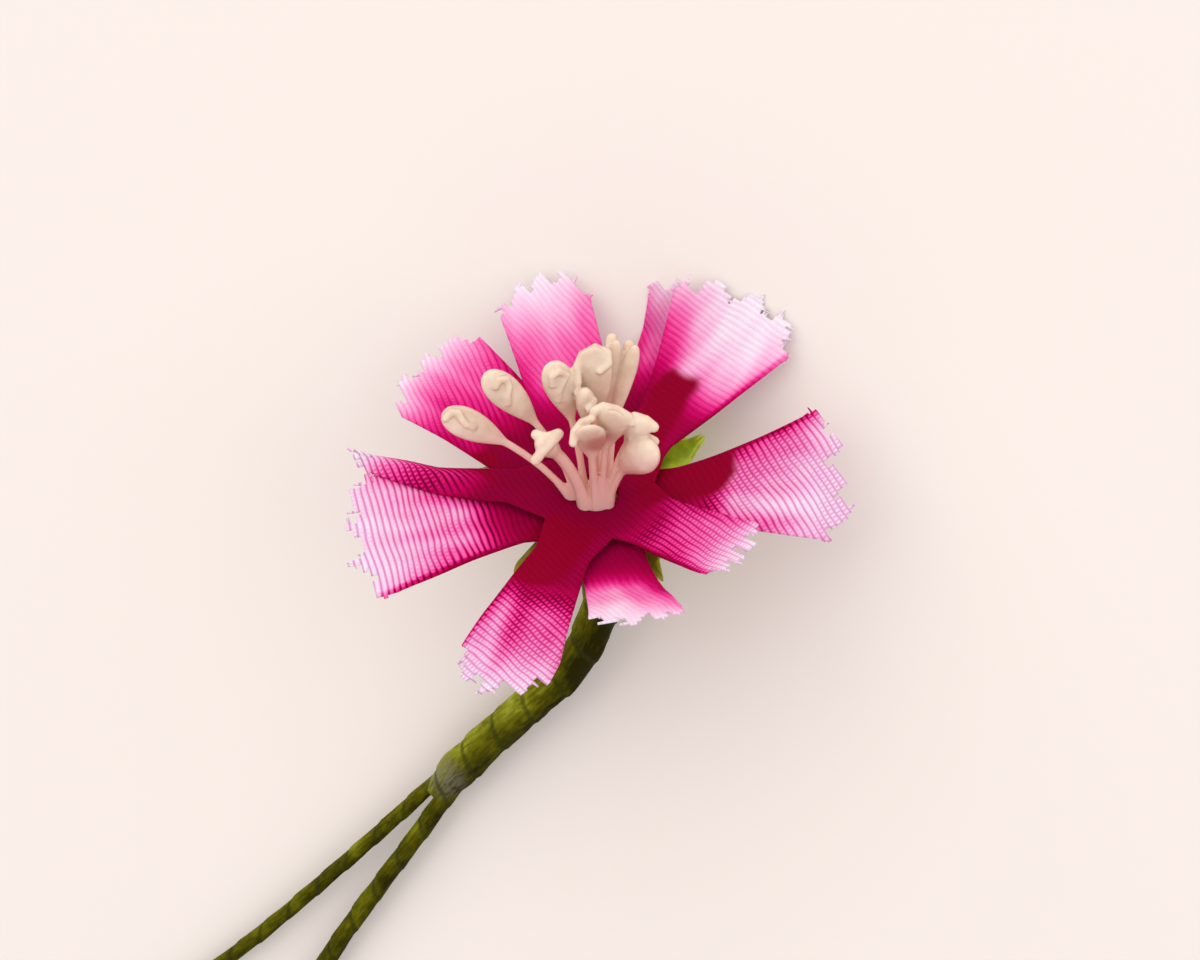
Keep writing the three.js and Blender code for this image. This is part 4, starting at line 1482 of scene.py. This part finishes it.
def crepe_tape(name, length, girth, tone_shift=-0.03, lit=0.11, shaded=(2.0, 1.0)):
    """Tape on a winding: its size in mm, its tone, how much light and shade is painted on its
    two sides, and the end that is painted darker as shade.
    """
    material, tree, shader = new_material(name, Specular_IOR_Level=0.03)
    uv = add(tree, "UVMap", uv_map="round").outputs["UV"]
    along, around = split(uv)
    lap = fraction(scaled(along, length / TAPE_PITCH, around))
    seam = larger(remap(lap, 0.88, 0.96), remap(lap, 0.1, 0.0))
    patches, _ = skin_on(tree, 420.0, 2400.0, 0.5)
    sizes = {"X": times(along, WRINKLES_ALONG * length),
             "Y": times(around, WRINKLES_ROUND * girth)}
    wrinkle = cloud(add(tree, "CombineXYZ", sizes).outputs[0], 1.0, 3.0,
                    Roughness=0.6, Distortion=0.6)
    tone = scaled(wrinkle, 0.45, scaled(patches, 0.7, tone_shift))
    # Painted shade: darker towards the start of the winding, just under the head on the stem.
    tone = scaled(remap(along, *shaded), -0.16, tone)
    # Painted light and shade: one side of the winding lighter, the other darker.
    tone = scaled(sine_of(times(around, tau)), lit, tone)
    grey = times(near_point(tree, TAPE_END, 2.4, 0.6), remap(wrinkle, 0.35, 0.6, 0.15, 0.75))
    colour = mixed(grey, ramp(tone, TAPE_COLOURS), WAX_GREY)
    # Painted shadow along the edge of each lap.
    colour = mixed(times(seam, 0.6), colour, LAP_SHADOW_COLOUR)
    drive(shader, Base_Color=colour,
          Roughness=remap(patches, 0.35, 0.65, 0.48, 0.78))
    bump(shader, scaled(seam, -0.6, wrinkle), depth=0.14, strength=0.8)
    return material


print("colours of the tape, from dark to faded:", len(TAPE_COLOURS))

# %% The wound stem
STEM_RADIUS = 1.47
STOUTER = 0.14
STOUTER_FALL = 5
FORK_FALL = 6
FORK_LEFT = 0.25
PRESSED_FROM = 0.8
PRESSED_WIDER = 0.2
PRESSED_THINNER = 0.08


def stem_radius(along):
    """The stem is a little stouter at the calyx and closes at the fork."""
    ends = min(1, FORK_FALL * (1 - along) + FORK_LEFT)**0.5
    return STEM_RADIUS * (1 + STOUTER - STOUTER * min(1, along * STOUTER_FALL)) * ends


def stem_spread(along):
    """Towards the fork the winding is pressed flat round both wires."""
    share = max(0, (along - PRESSED_FROM) / (1 - PRESSED_FROM))
    return 1 + PRESSED_WIDER * share, 1 - PRESSED_THINNER * share


stem_tape = crepe_tape("stem crepe tape", route_length(STEM_LINE), girth=9.2,
                       tone_shift=-0.1, lit=0.25, shaded=(0.7, 0.3))
finished("stem_wound",
         wound(STEM_LINE, stem_radius, step=0.15, seed=4.0, sides=48, flatten=stem_spread),
         "stem_wrap", stem_tape)

# %% The wound legs
for name, points, radius, node, seed in (
    ("leg_slim_wound", SLIM_LEG, 0.6, "leg_wrap_slim", 9.0),
    ("leg_stout_wound", STOUT_LEG, 0.73, "leg_wrap_stout", 21.0),
):
    line = smooth_route(points)
    bm = wound(line, lambda along: radius, step=0.09, seed=seed, sides=28)
    tape = crepe_tape(name + " crepe tape", route_length(line), girth=tau * radius)
    finished(name, bm, node, tape)
